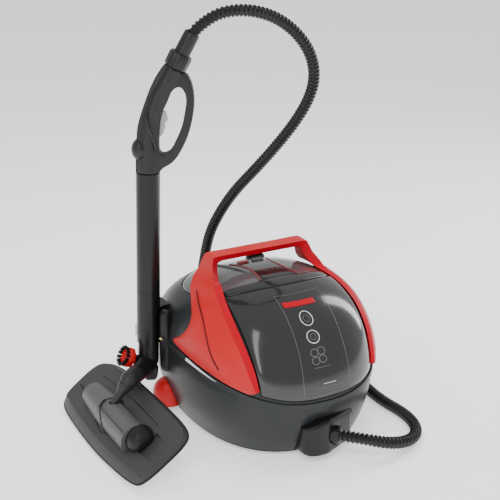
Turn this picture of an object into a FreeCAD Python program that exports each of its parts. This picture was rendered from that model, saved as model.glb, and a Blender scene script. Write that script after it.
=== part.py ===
"""Canister steam cleaner with a hose, a steam gun, an extension wand and a floor brush.

Millimetres, +Z up, the machine's nose faces -Y.  The parts are drawn about the middle of the
machine's body on the floor and moved at the end, so that the origin is the middle of the
footprint of everything except the hose.
"""
import FreeCAD, Part
import functools
import math
import os
from FreeCAD import Vector, Rotation, Placement

# ---------------------------------------------------------------- driving dimensions
BODY_HALF_WIDTH = 161.0        # at the belt line
BODY_HALF_LENGTH = 218.0       # at the belt line
BELT_Z = 107.0                 # height of the widest plan section
DOME_H = 151.0                 # belt line to the top of the dome
FLOOR_TAPER = 0.142            # how far the plan shrinks from the belt to the floor
PLAN_POWER = 2.4               # superellipse power of every plan section
DOME_POWER = 2.6               # power of the dome's side profile
DOME_DRIFT = 35.0              # how far the dome's crown sits towards the nose
HOUSING_BOTTOM = 10.0
WALL = 3.0
SKIN_GAP = 0.35                # air between a shell and the skin that covers it

SEAM_REAR_Z = 138.0            # parting line between the two housings, level at the rear
SEAM_DROP = 40.0               # how far it falls towards the nose
SEAM_START_Y = -20.0
SEAM_END_Y = -220.0

WINDOW_HALF_WIDTH = 103.0
WINDOW_TOP_Z = 238.0
TRIM_H = 8.0

HANDLE_Y = 18.0                # the carry bar's middle
HANDLE_TOP_Z = 286.0
HANDLE_BAR_H = 11.0
HANDLE_BAR_D = 28.0
HANDLE_HALF_W = 90.0

CASTOR_R = 13.0
CASTOR_W = 13.0
CASTOR_TRAIL = 7.0
HOOD_R = 27.0
HOOD_WALL = 2.5
CASTORS = {
    "rear_left": (-147.0, 60.0),
    "rear_right": (147.0, 60.0),
    "front_left": (-70.0, -115.0),
    "front_right": (70.0, -115.0),
}

WAND_BASE = Vector(-183.0, 65.0, 85.0)
WAND_TURN = -29.0              # the gun's plane about +Z
WAND_LEAN = 1.6                # the parked wand leans a little
TUBE_X = 2.0                   # the tube's axis in the wand's own frame
TUBE_R = 19.5
TUBE_WALL = 2.2
TUBE_BOTTOM = 47.0
TUBE_SEAM = 139.0
GUN_BOTTOM = 343.0

BRUSH_CENTRE = Vector(-263.0, -10.0, 41.5)
BRUSH_ROLL = -32.0             # the parked brush hangs rolled about its long side
BRUSH_HALF_W = 63.0
BRUSH_HALF_L = 165.0
BRUSH_PLATE_H = 8.0
BRUSH_POWER = 6.0              # superellipse power of the plate's outline
HUMP_X = -8.0
HUMP_Z = 8.0
HUMP_R = 27.0
HUMP_FRONT_Y = -85.0
HUMP_SPLIT_Y = 22.0            # the turning drum ends here and the fixed tail begins
HUMP_TAIL_Y = 96.0
DRUM_R = 24.2
PIN_R = 21.0                   # the neck pin's distance from the drum's axis
PIN_Y = 8.0
PIN_ANGLE = 32.0               # upright while the brush is parked

HOSE_R = 9.5
SOCKET_POINT = Vector(12.0, -224.0, 40.0)
SOCKET_DIR = Vector(0.7, -0.714, 0.0)
NECK_END = Vector(44.0, 0.0, 513.0)      # the gun's stock ends here, wand frame
NECK_DIR = Vector(0.45, 0.0, 0.893)
CUFF_LENGTH = 53.3
HOSE_SEAT = 31.3               # the hose ends in the cuff's mouth, this far from the stock
SCREWS = [(-108, 60), (108, 60), (-100, -60), (100, -60), (-60, 150), (60, 150)]
SCREW_R = 4.0
FILLER = (30.0, 70.0)          # the tank's cap, plan position
SWITCH_X = (-16.0, 12.0)       # the two rockers
SWITCH_Y = 30.0
SWITCH_Z = 254.4

# the hose's route from the front socket round the right side, up behind and over to the gun
HOSE_ROUTE = [
    (17.8, -229.9, 40.0), (42.8, -255.4, 40.0), (79.9, -270.4, 29.0), (119.8, -268.0, 19.0),
    (154.8, -248.6, 12.5), (178.0, -216.0, 10.0), (185.7, -172.7, 10.0), (179.0, -117.0, 10.0),
    (184.0, -58.0, 10.0), (199.0, 0.0, 10.0), (211.0, 60.0, 10.0), (209.0, 122.0, 10.0),
    (193.0, 180.0, 10.0), (168.0, 226.0, 10.0), (137.0, 259.0, 10.5), (104.0, 276.0, 17.0),
    (72.0, 284.0, 34.0), (46.0, 286.0, 61.0), (31.0, 282.0, 97.0), (26.0, 272.0, 143.0),
    (26.0, 256.0, 192.0), (25.0, 234.0, 240.0), (31.0, 203.0, 288.0), (43.0, 168.0, 336.0),
    (61.0, 127.0, 382.0), (80.0, 88.0, 430.0), (98.0, 56.0, 476.0), (109.0, 29.0, 520.0),
    (108.0, 8.0, 562.0), (93.0, -4.0, 602.0), (66.0, -9.0, 637.0), (31.0, -10.0, 664.0),
    (-6.0, -10.0, 679.0), (-41.0, -6.0, 684.0), (-71.0, 3.5, 679.5), (-92.9, 14.4, 664.7),
    (-107.3, 23.0, 649.0),
]

UP = Vector(0, 0, 1)
ALONG_X = Vector(1, 0, 0)
ALONG_Y = Vector(0, 1, 0)
WAND = Placement(WAND_BASE, Rotation(UP, WAND_TURN).multiply(Rotation(ALONG_Y, WAND_LEAN)))
BRUSH = Placement(BRUSH_CENTRE, Rotation(ALONG_Y, BRUSH_ROLL))

# Gun, elbow and their pivots, in the wand's own frame
GUN_OUTLINE = [(-17, 343), (-17, 365), (-16, 392), (-14, 418), (-6, 447), (8, 485), (29, 519),
               (60, 508), (70, 492), (75, 469), (74, 441), (67, 409), (54, 379), (38, 359),
               (24, 349), (21, 343)]
LOOP_OPENING = [(45, 481), (53, 483), (60, 475), (61, 447), (55, 417), (45, 393), (33, 377),
                (24, 376), (20.5, 387), (21.5, 414), (25, 440), (36, 466)]
TRIGGER_PIVOT = Vector(20.0, 0, 440.0)
LEVER_PIVOT = Vector(12.0, 0, -1.0)
PIVOT_R = 1.5
PIVOT_HOLE_R = 1.56
LOCK_R = 14.5                  # the dome button on the gun's back
LOCK_Z = 384.0
ELBOW_CENTRE = Vector(TUBE_X, 0, 4)
KNEE = Vector(-245.0, -1.0, 101.0)       # where the arm turns down into the neck, row axes
PEG_AXIS = Vector(-0.80, -0.40, 0.45)
PEG_AXIS.normalize()
PEG_START = ELBOW_CENTRE + PEG_AXIS * 34

NODES = {}


# ---------------------------------------------------------------- small helpers
def box(x0, x1, y0, y1, z0, z1):
    return Part.makeBox(x1 - x0, y1 - y0, z1 - z0, Vector(x0, y0, z0))


def rod(radius, start, end):
    start = Vector(start)
    axis = Vector(end) - start
    return Part.makeCylinder(radius, axis.Length, start, axis)


def taper(r0, r1, start, end):
    start = Vector(start)
    axis = Vector(end) - start
    return Part.makeCone(r0, r1, axis.Length, start, axis)


def pipe(radius, wall, start, end):
    return rod(radius, start, end).cut(rod(radius - wall, start, end))


def fuse(*shapes):
    return shapes[0].multiFuse(list(shapes[1:])).removeSplitter()


def compound(*shapes):
    return Part.makeCompound(list(shapes))


def prism(points, normal, depth):
    """A closed polygon through the points, pushed along normal * depth."""
    wire = Part.makePolygon([Vector(*p) for p in list(points) + [points[0]]])
    return Part.Face(wire).extrude(Vector(normal) * depth)


def turned(profile):
    """A solid of revolution about +Z from points of radius and height."""
    wire = Part.makePolygon([Vector(r, 0, h) for r, h in profile + profile[:1]])
    return Part.Face(wire).revolve(Vector(), UP, 360)


def smooth_face(points):
    curve = Part.BSplineCurve()
    curve.interpolate([Vector(*p) for p in points], PeriodicFlag=True)
    return Part.Face(Part.Wire(curve.toShape()))


def in_wand(shape):
    shape.Placement = WAND.multiply(shape.Placement)
    return shape


def in_brush(shape):
    shape.Placement = BRUSH.multiply(shape.Placement)
    return shape


def wand_point(x, y, z):
    return WAND.multVec(Vector(x, y, z))


def brush_point(x, y, z):
    return BRUSH.multVec(Vector(x, y, z))


# ---------------------------------------------------------------- the body's form
def half_width(z):
    if z < BELT_Z:
        return BODY_HALF_WIDTH * (1 - FLOOR_TAPER * ((BELT_Z - z) / BELT_Z) ** 2)
    rise = (z - BELT_Z) / DOME_H
    return BODY_HALF_WIDTH * (1 - rise ** DOME_POWER) ** (1 / DOME_POWER)


def half_length(z):
    if z < BELT_Z:
        return BODY_HALF_LENGTH * (1 - FLOOR_TAPER * ((BELT_Z - z) / BELT_Z) ** 2)
    rise = (z - BELT_Z) / DOME_H
    return BODY_HALF_LENGTH * math.sqrt(1 - rise ** 2)


def centre_y(z):
    rise = max(0.0, (z - BELT_Z) / DOME_H)
    return -DOME_DRIFT * rise ** 2.5


def superellipse(a, b, y0, z, power=PLAN_POWER, count=20):
    points = []
    for i in range(count):
        angle = 2 * math.pi * (i + 0.5) / count
        c = math.cos(angle)
        s = math.sin(angle)
        x = a * math.copysign(abs(c) ** (2 / power), c)
        y = y0 + b * math.copysign(abs(s) ** (2 / power), s)
        points.append(Vector(x, y, z))
    curve = Part.BSplineCurve()
    curve.interpolate(points, PeriodicFlag=True)
    return Part.Wire(curve.toShape())


@functools.lru_cache(maxsize=None)
def body_form(grow, bottom=HOUSING_BOTTOM - 4.0, top=256.0):
    """The solid of the whole body, made larger or smaller all round by grow."""
    heights = [bottom, 45.0, 80.0, BELT_Z, 135.0, 160.0, 185.0, 205.0, 222.0, 236.0, 246.0,
               252.0, top]
    sections = []
    for z in heights:
        lift = grow * max(0.0, (z - BELT_Z) / DOME_H) ** 2
        wire = superellipse(half_width(z) + grow, half_length(z) + grow, centre_y(z), z + lift)
        sections.append(wire)
    return Part.makeLoft(sections, True, False)


@functools.lru_cache(maxsize=None)
def skin(inner, outer):
    return body_form(outer).cut(body_form(inner, bottom=HOUSING_BOTTOM - 5.0))


def seam_z(y):
    share = min(1.0, max(0.0, (SEAM_START_Y - y) / (SEAM_START_Y - SEAM_END_Y)))
    return SEAM_REAR_Z - SEAM_DROP * share ** 1.6


def under_seam(offset):
    """Everything under the parting line, which is moved up by offset."""
    reach = 260.0
    line = [Vector(-reach, y, seam_z(y) + offset) for y in range(-260, 20, 20)]
    curve = Part.BSplineCurve()
    curve.interpolate(line)
    last = line[-1]
    corners = [last, Vector(-reach, reach, last.z), Vector(-reach, reach, -20),
               Vector(-reach, line[0].y, -20), line[0]]
    edges = [curve.toShape()]
    for a, b in zip(corners[:-1], corners[1:]):
        edges.append(Part.LineSegment(a, b).toShape())
    return Part.Face(Part.Wire(edges)).extrude(Vector(2 * reach, 0, 0))


# ---------------------------------------------------------------- housings
def socket_block(grow):
    """The moulded box on the nose that the hose plugs into."""
    plan = [(-42 - grow, -180, 0), (-42 - grow, -214, 0), (-36 - grow, -226 - grow, 0),
            (-22, -232 - grow, 0), (-4, -232 - grow, 0), (54 + grow, -206 - grow, 0),
            (58 + grow, -198, 0), (58 + grow, -180, 0)]
    block = prism(plan, UP, 60 + 2 * grow)
    block.translate(Vector(0, 0, 12 - grow))
    roof = prism([(-50 - grow, -250, 58 + grow), (-50 - grow, -250, 90), (70 + grow, -250, 90),
                  (70 + grow, -250, 72 + grow), (-16, -250, 72 + grow)], ALONG_Y, 80)
    return block.cut(roof)


def castor_hoods():
    for name, (x, y) in CASTORS.items():
        if name.startswith("rear"):
            outer = Part.makeSphere(HOOD_R, Vector(x, y, 30))
            inner = Part.makeSphere(HOOD_R - HOOD_WALL, Vector(x, y, 30))
            skirt = rod(HOOD_R, (x, y, 12), (x, y, 30)).cut(
                rod(HOOD_R - HOOD_WALL, (x, y, 11), (x, y, 31)))
            dome = outer.cut(inner).cut(box(x - 40, x + 40, y - 40, y + 40, -10, 30))
            boss = rod(7, (x, y, 34), (x, y, 56)).cut(rod(4.05, (x, y, 33), (x, y, 50)))
            NODES["castor_hood_" + name] = fuse(dome, skirt, boss)


def hood_recess(grow):
    cuts = []
    for name, (x, y) in CASTORS.items():
        if name.startswith("rear"):
            ball = Part.makeSphere(HOOD_R + grow, Vector(x, y, 30))
            well = rod(HOOD_R + grow, (x, y, 0), (x, y, 30))
            cuts += [ball, well]
    return cuts


def lower_housing():
    shell = body_form(0).common(under_seam(-0.2))
    shell = shell.cut(body_form(-WALL, bottom=HOUSING_BOTTOM - 5.0))
    shell = shell.cut(box(-300, 300, -300, 300, -10, HOUSING_BOTTOM))
    for cut in hood_recess(0.4):
        shell = shell.cut(cut)
    shell = shell.cut(socket_block(0.3))
    inlet = rod(9.0, (-60, 180, 45), (-60, 230, 45))
    return shell.cut(inlet)


def base_plate():
    edge = Part.Face(superellipse(half_width(10) - WALL - 0.6, half_length(10) - WALL - 0.6, 0, 6))
    plate = edge.extrude(Vector(0, 0, 4))
    for cut in hood_recess(0.4):
        plate = plate.cut(cut)
    solids = []
    for name, (x, y) in CASTORS.items():
        if name.startswith("front"):
            plate = plate.cut(rod(24, (x, y, 0), (x, y, 20)))
            cup = rod(26.5, (x, y, 6), (x, y, 52)).cut(rod(24, (x, y, 0), (x, y, 33)))
            cup = cup.cut(rod(4.05, (x, y, 30), (x, y, 48)))
            solids.append(cup)
    plate = plate.cut(socket_block(0.3))
    for x, y in SCREWS:
        plate = plate.cut(rod(SCREW_R + 0.3, (x, y, 0), (x, y, 8.05)))
    ribs = [box(-90, 90, y, y + 3, 9, 13) for y in (-62, 130)]
    return fuse(plate, *(solids + ribs))


def upper_housing():
    shell = body_form(0).cut(under_seam(0.2))
    shell = shell.cut(body_form(-WALL, bottom=HOUSING_BOTTOM - 5.0, top=254.0))
    neck = rod(17.5, (*FILLER, 180), (*FILLER, 270))
    shell = shell.cut(neck)
    for x in SWITCH_X:
        shell = shell.cut(box(x - 10, x + 10, SWITCH_Y - 8, SWITCH_Y + 8, 240, 270))
    return shell


def belt_trim():
    band = skin(SKIN_GAP, 2.6).common(under_seam(4.5)).cut(under_seam(-4.5))
    return band.cut(socket_block(0.4))


def window_zone(inset):
    half = WINDOW_HALF_WIDTH - inset
    return box(-half, half, -260, -20, 90, WINDOW_TOP_Z - inset)


def front_window():
    pane = skin(SKIN_GAP, 3.2).common(window_zone(0)).cut(under_seam(5.2))
    return pane


def trim_band():
    zone = box(-108, 108, -260, -20, WINDOW_TOP_Z + 0.4, WINDOW_TOP_Z + TRIM_H)
    return skin(SKIN_GAP, 4.2).common(zone)


def side_zone(side):
    """Outline of a red side panel in the side view, level with the arm's front edge."""
    outline = [(-186, 119), (-176, 117), (-142, 127), (-100, 137), (-50, 144), (-4, 149),
               (4, 152), (0, 160), (-12, 168), (-27, 176), (-36, 188), (-38, 200), (-32, 212),
               (-14, 226), (10, 236), (34, 243), (34, 250), (-40, 250), (-62, 241), (-99, 226),
               (-147, 190), (-173, 158), (-190, 126)]
    x0 = WINDOW_HALF_WIDTH + 0.6
    face = [(side * x0 * 0.60, y, z) for y, z in outline]
    return prism(face, (side, 0, 0), 120)


def side_panel(side):
    panel = skin(SKIN_GAP, 6.0).common(side_zone(side)).cut(under_seam(5.2))
    window = window_zone(-0.6)
    trim = box(-109, 109, -260, -20, WINDOW_TOP_Z - 1, WINDOW_TOP_Z + TRIM_H + 1)
    return panel.cut(window).cut(trim)


def accent_strip(side):
    """The pale strip between a side panel and the belt."""
    strip = skin(2.8, 5.0).common(under_seam(4.8)).cut(under_seam(0.5))
    zone = box(side * 110 if side > 0 else -200, 200 if side > 0 else -110, -172, -30, 60, 200)
    return strip.common(zone)


def carry_handle():
    """A bow: its front outline and its side outline are both pushed through and crossed."""
    top = HANDLE_TOP_Z
    bar = HANDLE_BAR_H
    half = HANDLE_HALF_W
    outer = [(-112, 228), (-half - 3, 262), (-half, top - 9), (-half + 9, top), (half - 9, top),
             (half, top - 9), (half + 3, 262), (112, 228)]
    inner = [(93, 228), (77, 256), (73, top - bar - 6), (66, top - bar), (-66, top - bar),
             (-73, top - bar - 6), (-77, 256), (-93, 228)]
    front = prism([(x, -120, z) for x, z in outer + inner], ALONG_Y, 200)
    y = HANDLE_Y
    depth = HANDLE_BAR_D / 2
    side = [(y - depth, top + 1), (y + depth, top + 1), (y + depth + 1, 268), (y + 4, 256),
            (y + 2, 240), (y - 5, 226), (-110, 226), (-88, 236), (-42, 252), (-6, 264),
            (y - depth - 2, 277)]
    bow = front.common(prism([(-120, a, z) for a, z in side], ALONG_X, 240))
    bow = bow.cut(body_form(SKIN_GAP))
    panels = box(-130, 130, -200, 60, 200, 250.3)
    return bow.cut(panels)


# ---------------------------------------------------------------- top controls
def control_panel():
    """The dark waisted panel on the crown."""
    outline = [(-38, 34, 240), (-27, -10, 240), (-31, -40, 240), (-40, -66, 240),
               (40, -66, 240), (31, -40, 240), (27, -10, 240), (38, 34, 240)]
    zone = prism(outline, UP, 60)
    panel = skin(SKIN_GAP, 3.0).common(zone)
    for x in SWITCH_X:
        hole = box(x - 9.4, x + 9.4, SWITCH_Y - 7.5, SWITCH_Y + 7.5, 240, 275)
        panel = panel.cut(hole)
    return panel.cut(rod(17.5, (*FILLER, 240), (*FILLER, 270)))


def power_switch(x):
    """A rocker: its pivot runs along X through the cap's middle."""
    y = SWITCH_Y
    z = SWITCH_Z
    cap = box(x - 9, x + 9, y - 6, y + 6, z - 4, z + 2)
    return cap.common(rod(7.2, (x - 10, y, z - 4.2), (x + 10, y, z - 4.2)))


def filler_cap():
    x, y = FILLER
    cap = rod(16.5, (x, y, 240), (x, y, 246))
    grip = box(x - 14, x + 14, y - 2.5, y + 2.5, 245, 249)
    thread = rod(13.5, (x, y, 228), (x, y, 242))
    return fuse(cap, grip, thread)


def indicator_lights():
    return compound(*[rod(2.0, (x, -30, 259.3), (x, -30, 260.6)) for x in (-12, 0, 12)])


# ---------------------------------------------------------------- socket and hose ends
def socket_housing():
    block = socket_block(0)
    block = block.cut(body_form(-WALL - 6.0, bottom=0.0))
    bore_start = SOCKET_POINT - SOCKET_DIR * 60
    bore_end = SOCKET_POINT + SOCKET_DIR * 30
    return block.cut(rod(13.4, bore_start, bore_end))


def steam_socket():
    """The steam valve's seat, deep in the nose, that the hose plug pushes onto."""
    start = SOCKET_POINT - SOCKET_DIR * 46
    body = rod(13.0, start, SOCKET_POINT - SOCKET_DIR * 28)
    return body.cut(rod(3.5, start - SOCKET_DIR, SOCKET_POINT))


def hose_plug():
    start = SOCKET_POINT - SOCKET_DIR * 27.7
    end = SOCKET_POINT + SOCKET_DIR * 8
    plug = rod(13.0, start, end)
    return plug.cut(rod(4.0, start - SOCKET_DIR, end + SOCKET_DIR))


def route_wire(points):
    """Straight runs joined by tangent arcs, each as large as its two runs allow."""
    edges = []
    radii = []
    last = points[0]
    for before, corner, after in zip(points[:-2], points[1:-1], points[2:]):
        back = (before - corner)
        ahead = (after - corner)
        shorter = min(back.Length, ahead.Length)
        back.normalize()
        ahead.normalize()
        turn = math.pi - back.getAngle(ahead)
        radius = 0.45 * shorter / math.tan(turn / 2)
        radii.append(radius)
        cut = 0.45 * shorter
        start = corner + back * cut
        end = corner + ahead * cut
        inward = back + ahead
        inward.normalize()
        centre = corner + inward * (radius / math.cos(turn / 2))
        middle = centre - inward * radius
        edges.append(Part.LineSegment(last, start).toShape())
        edges.append(Part.Arc(start, middle, end).toShape())
        last = end
    edges.append(Part.LineSegment(last, points[-1]).toShape())
    return Part.Wire(edges), radii


def steam_hose():
    points = [Vector(*p) for p in HOSE_ROUTE] + [WAND.multVec(neck_axis(HOSE_SEAT))]
    wire, radii = route_wire(points)
    direction = points[1] - points[0]
    ring = Part.Wire(Part.makeCircle(HOSE_R, points[0], direction))
    hose = wire.makePipeShell([ring], True, False, 1)
    area = math.pi * HOSE_R ** 2
    print("hose length %.0f, volume/section %.0f, tightest radius %.0f, radii %s"
          % (wire.Length, hose.Volume / area, min(radii), [round(r) for r in radii]))
    return hose


def wand_dock():
    """The bracket on the body's side that the parked wand stands in."""
    axis_low = wand_point(TUBE_X, 0, 72)
    axis_high = wand_point(TUBE_X, 0, 108)
    cradle = rod(TUBE_R + 3.4, axis_low, axis_high).cut(
        rod(TUBE_R + 0.6, wand_point(TUBE_X, 0, 40), wand_point(TUBE_X, 0, 130)))
    cradle = cradle.cut(box(-230, WAND_BASE.x + 1, 0, 130, 100, 260))
    cradle = cradle.cut(box(-230, 0, 0, WAND_BASE.y - 10, 100, 260))
    arm = box(-168, -140, 60, 96, 157, 192)
    arm = arm.cut(rod(TUBE_R + 0.6, wand_point(TUBE_X, 0, 40), wand_point(TUBE_X, 0, 130)))
    bracket = fuse(cradle, arm)
    return bracket.cut(body_form(SKIN_GAP)).cut(skin(SKIN_GAP, 3.0).common(under_seam(5.0)))


# ---------------------------------------------------------------- inside the body
def boiler():
    drum = rod(60, (0, -55, 88), (0, 125, 88))
    return drum.makeFillet(22, [e for e in drum.Edges if e.Curve.TypeId == "Part::GeomCircle"])


def heating_element():
    ring = Part.makeTorus(42, 4.5, Vector(0, 35, 20.5))
    pins = [rod(3, (x, 78, 20.5), (x, 100, 20.5)) for x in (-8, 8)]
    return fuse(ring, *pins)


def thermostat():
    return fuse(rod(9, (0, 125.5, 88), (0, 133, 88)), box(-2, 2, 133, 140, 82, 94))


def water_tank():
    outer = body_form(-6.0).common(box(-120, 120, 0, 200, 156, 228))
    inner = body_form(-8.5).common(box(-117.5, 117.5, 2.5, 198, 158.5, 225.5))
    foot = (*FILLER, 222)
    top = (*FILLER, 238)
    neck = rod(16.5, foot, top).cut(rod(14.0, foot, top))
    return fuse(outer.cut(inner).cut(rod(14.0, (*FILLER, 216), top)), neck)


def pump():
    body = rod(20, (85, -20, 45), (85, 45, 45))
    flange = box(63, 107, 45, 50, 24, 66)
    foot = box(70, 100, -15, 40, 13.2, 28)
    return fuse(body, flange, foot)


def solenoid_valve():
    block = box(-46, -16, -92, -60, 108, 134)
    coil = rod(13, (-31, -76, 134), (-31, -76, 164))
    return fuse(block, coil)


def control_board():
    board = box(-136, -134, -60, 50, 60, 122)
    relays = [box(-134, -122, y, y + 18, 70, 96) for y in (-48, -18, 12)]
    return fuse(board, *relays)


def bent_pipe(points, radius=3.2):
    pieces = [Part.makeSphere(radius, Vector(*p)) for p in points[1:-1]]
    for a, b in zip(points[:-1], points[1:]):
        pieces.append(rod(radius, a, b))
    return fuse(*pieces)


def inner_pipes():
    inlet = SOCKET_POINT - SOCKET_DIR * 46.8
    x = inlet.x
    steam = bent_pipe([(x, inlet.y, 40), (x, -161, 40), (x, -161, 121), (x, -92.3, 121)])
    feed = bent_pipe([(85, 50.3, 45), (85, 90, 45), (85, 90, 155.7)])
    return compound(steam, feed)


def mains_inlet():
    flange = rod(14, (-60, 190, 45), (-60, 206, 45)).cut(body_form(SKIN_GAP))
    barrel = rod(8.6, (-60, 188, 45), (-60, 206, 45))
    return fuse(flange, barrel).cut(rod(4.0, (-60, 180, 45), (-60, 230, 45)))


def housing_screws():
    screws = []
    for x, y in SCREWS:
        head = rod(SCREW_R, (x, y, 6.3), (x, y, 8.0))
        screws.append(head.cut(box(x - 3, x + 3, y - 0.5, y + 0.5, 6.0, 7.2)))
    return compound(*screws)


# ---------------------------------------------------------------- castors
def castor_parts():
    for name, (x, y) in CASTORS.items():
        stem_top = 47.0
        crown_z = 27.6
        axle_y = y + CASTOR_TRAIL
        fork = fuse(rod(4.0, (x, y, crown_z), (x, y, stem_top)),
                    rod(9.0, (x, y, crown_z), (x, y, crown_z + 3.4)),
                    box(x - 10, x + 10, y - 6, axle_y + 5, crown_z, crown_z + 2.6),
                    box(x - 10, x - 7.4, axle_y - 5, axle_y + 5, 9, crown_z + 1),
                    box(x + 7.4, x + 10, axle_y - 5, axle_y + 5, 9, crown_z + 1),
                    rod(2.5, (x - 9, axle_y, CASTOR_R), (x + 9, axle_y, CASTOR_R)))
        NODES["castor_fork_" + name] = fork
        half = CASTOR_W / 2
        wheel = rod(CASTOR_R, (x - half, axle_y, CASTOR_R), (x + half, axle_y, CASTOR_R))
        wheel = wheel.cut(rod(2.56, (x - 9, axle_y, CASTOR_R), (x + 9, axle_y, CASTOR_R)))
        for side in (-1, 1):
            face = x + side * half
            dish = rod(9.5, (face, axle_y, CASTOR_R), (face - side * 1.5, axle_y, CASTOR_R))
            hub = rod(4.5, (face, axle_y, CASTOR_R), (face - side * 1.5, axle_y, CASTOR_R))
            wheel = wheel.cut(dish.cut(hub))
        NODES["castor_wheel_" + name] = wheel


# ---------------------------------------------------------------- steam gun (wand frame)
def gun_form(thickness):
    """The gun's side view pushed through, with the D-shaped opening of its loop."""
    left = GUN_OUTLINE[:7]
    right = GUN_OUTLINE[7:]
    left_curve = Part.BSplineCurve()
    left_curve.interpolate([Vector(x, 0, z) for x, z in left])
    right_curve = Part.BSplineCurve()
    right_curve.interpolate([Vector(x, 0, z) for x, z in right])
    top = Part.LineSegment(Vector(29, 0, 519), Vector(60, 0, 508))
    bottom = Part.LineSegment(Vector(21, 0, 343), Vector(-17, 0, 343))
    wire = Part.Wire([left_curve.toShape(), top.toShape(), right_curve.toShape(),
                      bottom.toShape()])
    opening = smooth_face([(x, 0, z) for x, z in LOOP_OPENING])
    solid = Part.Face(wire).extrude(Vector(0, 2 * thickness, 0))
    solid.translate(Vector(0, -thickness, 0))
    hole = opening.extrude(Vector(0, 2 * thickness + 8, 0))
    hole.translate(Vector(0, -thickness - 4, 0))
    return solid.cut(hole)


def gun_grip_section():
    """Rounded stock through the neck: a chain of tapered rods."""
    stations = [((2, 0, 343), 19.0), ((2, 0, 390), 17.5), ((7, 0, 430), 16.0),
                ((18, 0, 465), 15.5), ((44, 0, 513), 15.5)]
    pieces = []
    for (a, ra), (b, rb) in zip(stations[:-1], stations[1:]):
        pieces.append(taper(ra, rb, a, b) if ra != rb else rod(ra, a, b))
        pieces.append(Part.makeSphere(rb, Vector(*b)))
    return fuse(*pieces).cut(box(-60, 60, -60, 60, 300, 343))




def gun_shells():
    stock = gun_grip_section()
    loop = gun_form(10.0)
    form = fuse(stock, loop)
    keep_out = smooth_face([(x, 0, z) for x, z in LOOP_OPENING]).extrude(Vector(0, 60, 0))
    keep_out.translate(Vector(0, -30, 0))
    form = form.cut(keep_out).cut(rod(60, NECK_END, neck_axis(80)))
    bore = fuse(rod(11, (2, 0, 330), (2, 0, 395)), rod(9, (2, 0, 395), (10, 0, 440)),
                Part.makeSphere(9, Vector(2, 0, 395)), Part.makeSphere(9, Vector(10, 0, 440)),
                rod(9, (10, 0, 440), neck_axis(6)), rod(9, neck_axis(-18), neck_axis(6)))
    form = form.cut(bore)
    trigger_slot = box(8, 42, -5.4, 5.4, 400, 449)
    button_slot = rod(LOCK_R + 0.5, (-30, 0, LOCK_Z), (-3, 0, LOCK_Z))
    form = form.cut(trigger_slot).cut(button_slot)
    form = form.fuse(rod(PIVOT_R, TRIGGER_PIVOT - ALONG_Y * 7, TRIGGER_PIVOT + ALONG_Y * 7))
    gap = 0.05
    NODES["gun_shell_left"] = in_wand(form.common(box(-80, 120, -40, -gap, 300, 560)))
    NODES["gun_shell_right"] = in_wand(form.common(box(-80, 120, gap, 40, 300, 560)))


def steam_trigger():
    lever = prism([(16, -4.8, 446), (22, -4.8, 447), (31, -4.8, 441), (34, -4.8, 430),
                   (28.5, -4.8, 424), (30, -4.8, 418), (27, -4.8, 409), (22, -4.8, 403),
                   (16, -4.8, 405)], ALONG_Y, 9.6)
    hole = rod(PIVOT_HOLE_R, TRIGGER_PIVOT - ALONG_Y * 7, TRIGGER_PIVOT + ALONG_Y * 7)
    return in_wand(lever.cut(hole))


def lock_button():
    dome = Part.makeSphere(LOCK_R + 1.5, Vector(-9.0, 0, LOCK_Z))
    dome = dome.common(rod(LOCK_R, (-40, 0, LOCK_Z), (-8.8, 0, LOCK_Z)))
    return in_wand(dome)


def neck_axis(distance):
    """A point on the hose end's axis, distance beyond the stock's end."""
    return NECK_END + NECK_DIR * distance


def hose_collar():
    nut = rod(17.0, neck_axis(0.4), neck_axis(25))
    nut = nut.cut(rod(13.4, neck_axis(-1), neck_axis(26)))
    grooves = []
    direction = neck_axis(1) - neck_axis(0)
    for i in range(12):
        groove = rod(1.6, Vector(17.4, 0, 0), Vector(17.4, 0, 30))
        groove.Placement = Placement(Vector(), Rotation(UP, 30 * i)).multiply(groove.Placement)
        groove.Placement = Placement(neck_axis(3), Rotation(UP, direction)).multiply(
            groove.Placement)
        grooves.append(groove)
    return in_wand(nut.cut(Part.makeCompound(grooves)))


def hose_cuff():
    """The smooth tapered sleeve that the hose ends in, turned about the neck's axis."""
    mouth = HOSE_R + 0.5
    seat = HOSE_SEAT - 0.3
    profile = [(5.5, -16), (8.8, -16), (8.8, 0.3), (12.8, 0.3), (12.8, 24), (12.3, CUFF_LENGTH),
               (mouth, CUFF_LENGTH), (mouth, seat), (5.5, seat)]
    sleeve = turned(profile)
    sleeve.Placement = Placement(NECK_END, Rotation(UP, NECK_DIR))
    return in_wand(sleeve)


# ---------------------------------------------------------------- wand tubes and elbow
def upper_tube():
    tube = pipe(TUBE_R, TUBE_WALL, (TUBE_X, 0, TUBE_SEAM + 0.3), (TUBE_X, 0, GUN_BOTTOM - 0.2))
    neck = pipe(10.8, 2.0, (TUBE_X, 0, GUN_BOTTOM - 8), (TUBE_X, 0, GUN_BOTTOM + 22))
    cap = pipe(TUBE_R, TUBE_R - 8.8, (TUBE_X, 0, GUN_BOTTOM - 8), (TUBE_X, 0, GUN_BOTTOM - 0.2))
    spigot = pipe(16.9, 2.0, (TUBE_X, 0, TUBE_SEAM - 24), (TUBE_X, 0, TUBE_SEAM + 6))
    ring = pipe(TUBE_R, TUBE_R - 15.0, (TUBE_X, 0, TUBE_SEAM + 0.3), (TUBE_X, 0, TUBE_SEAM + 6))
    return in_wand(fuse(tube, cap, neck, ring, spigot))


def lower_tube():
    tube = pipe(TUBE_R, TUBE_WALL, (TUBE_X, 0, TUBE_BOTTOM), (TUBE_X, 0, TUBE_SEAM - 0.1))
    return in_wand(tube.cut(box(-30, -10, -5.3, 5.3, 58, 76)))


def tube_latch():
    """The white push latch that lets the tubes part."""
    button = box(-20.5, -16.6, -4.8, 4.8, 58.6, 75.4)
    return in_wand(button)


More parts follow.
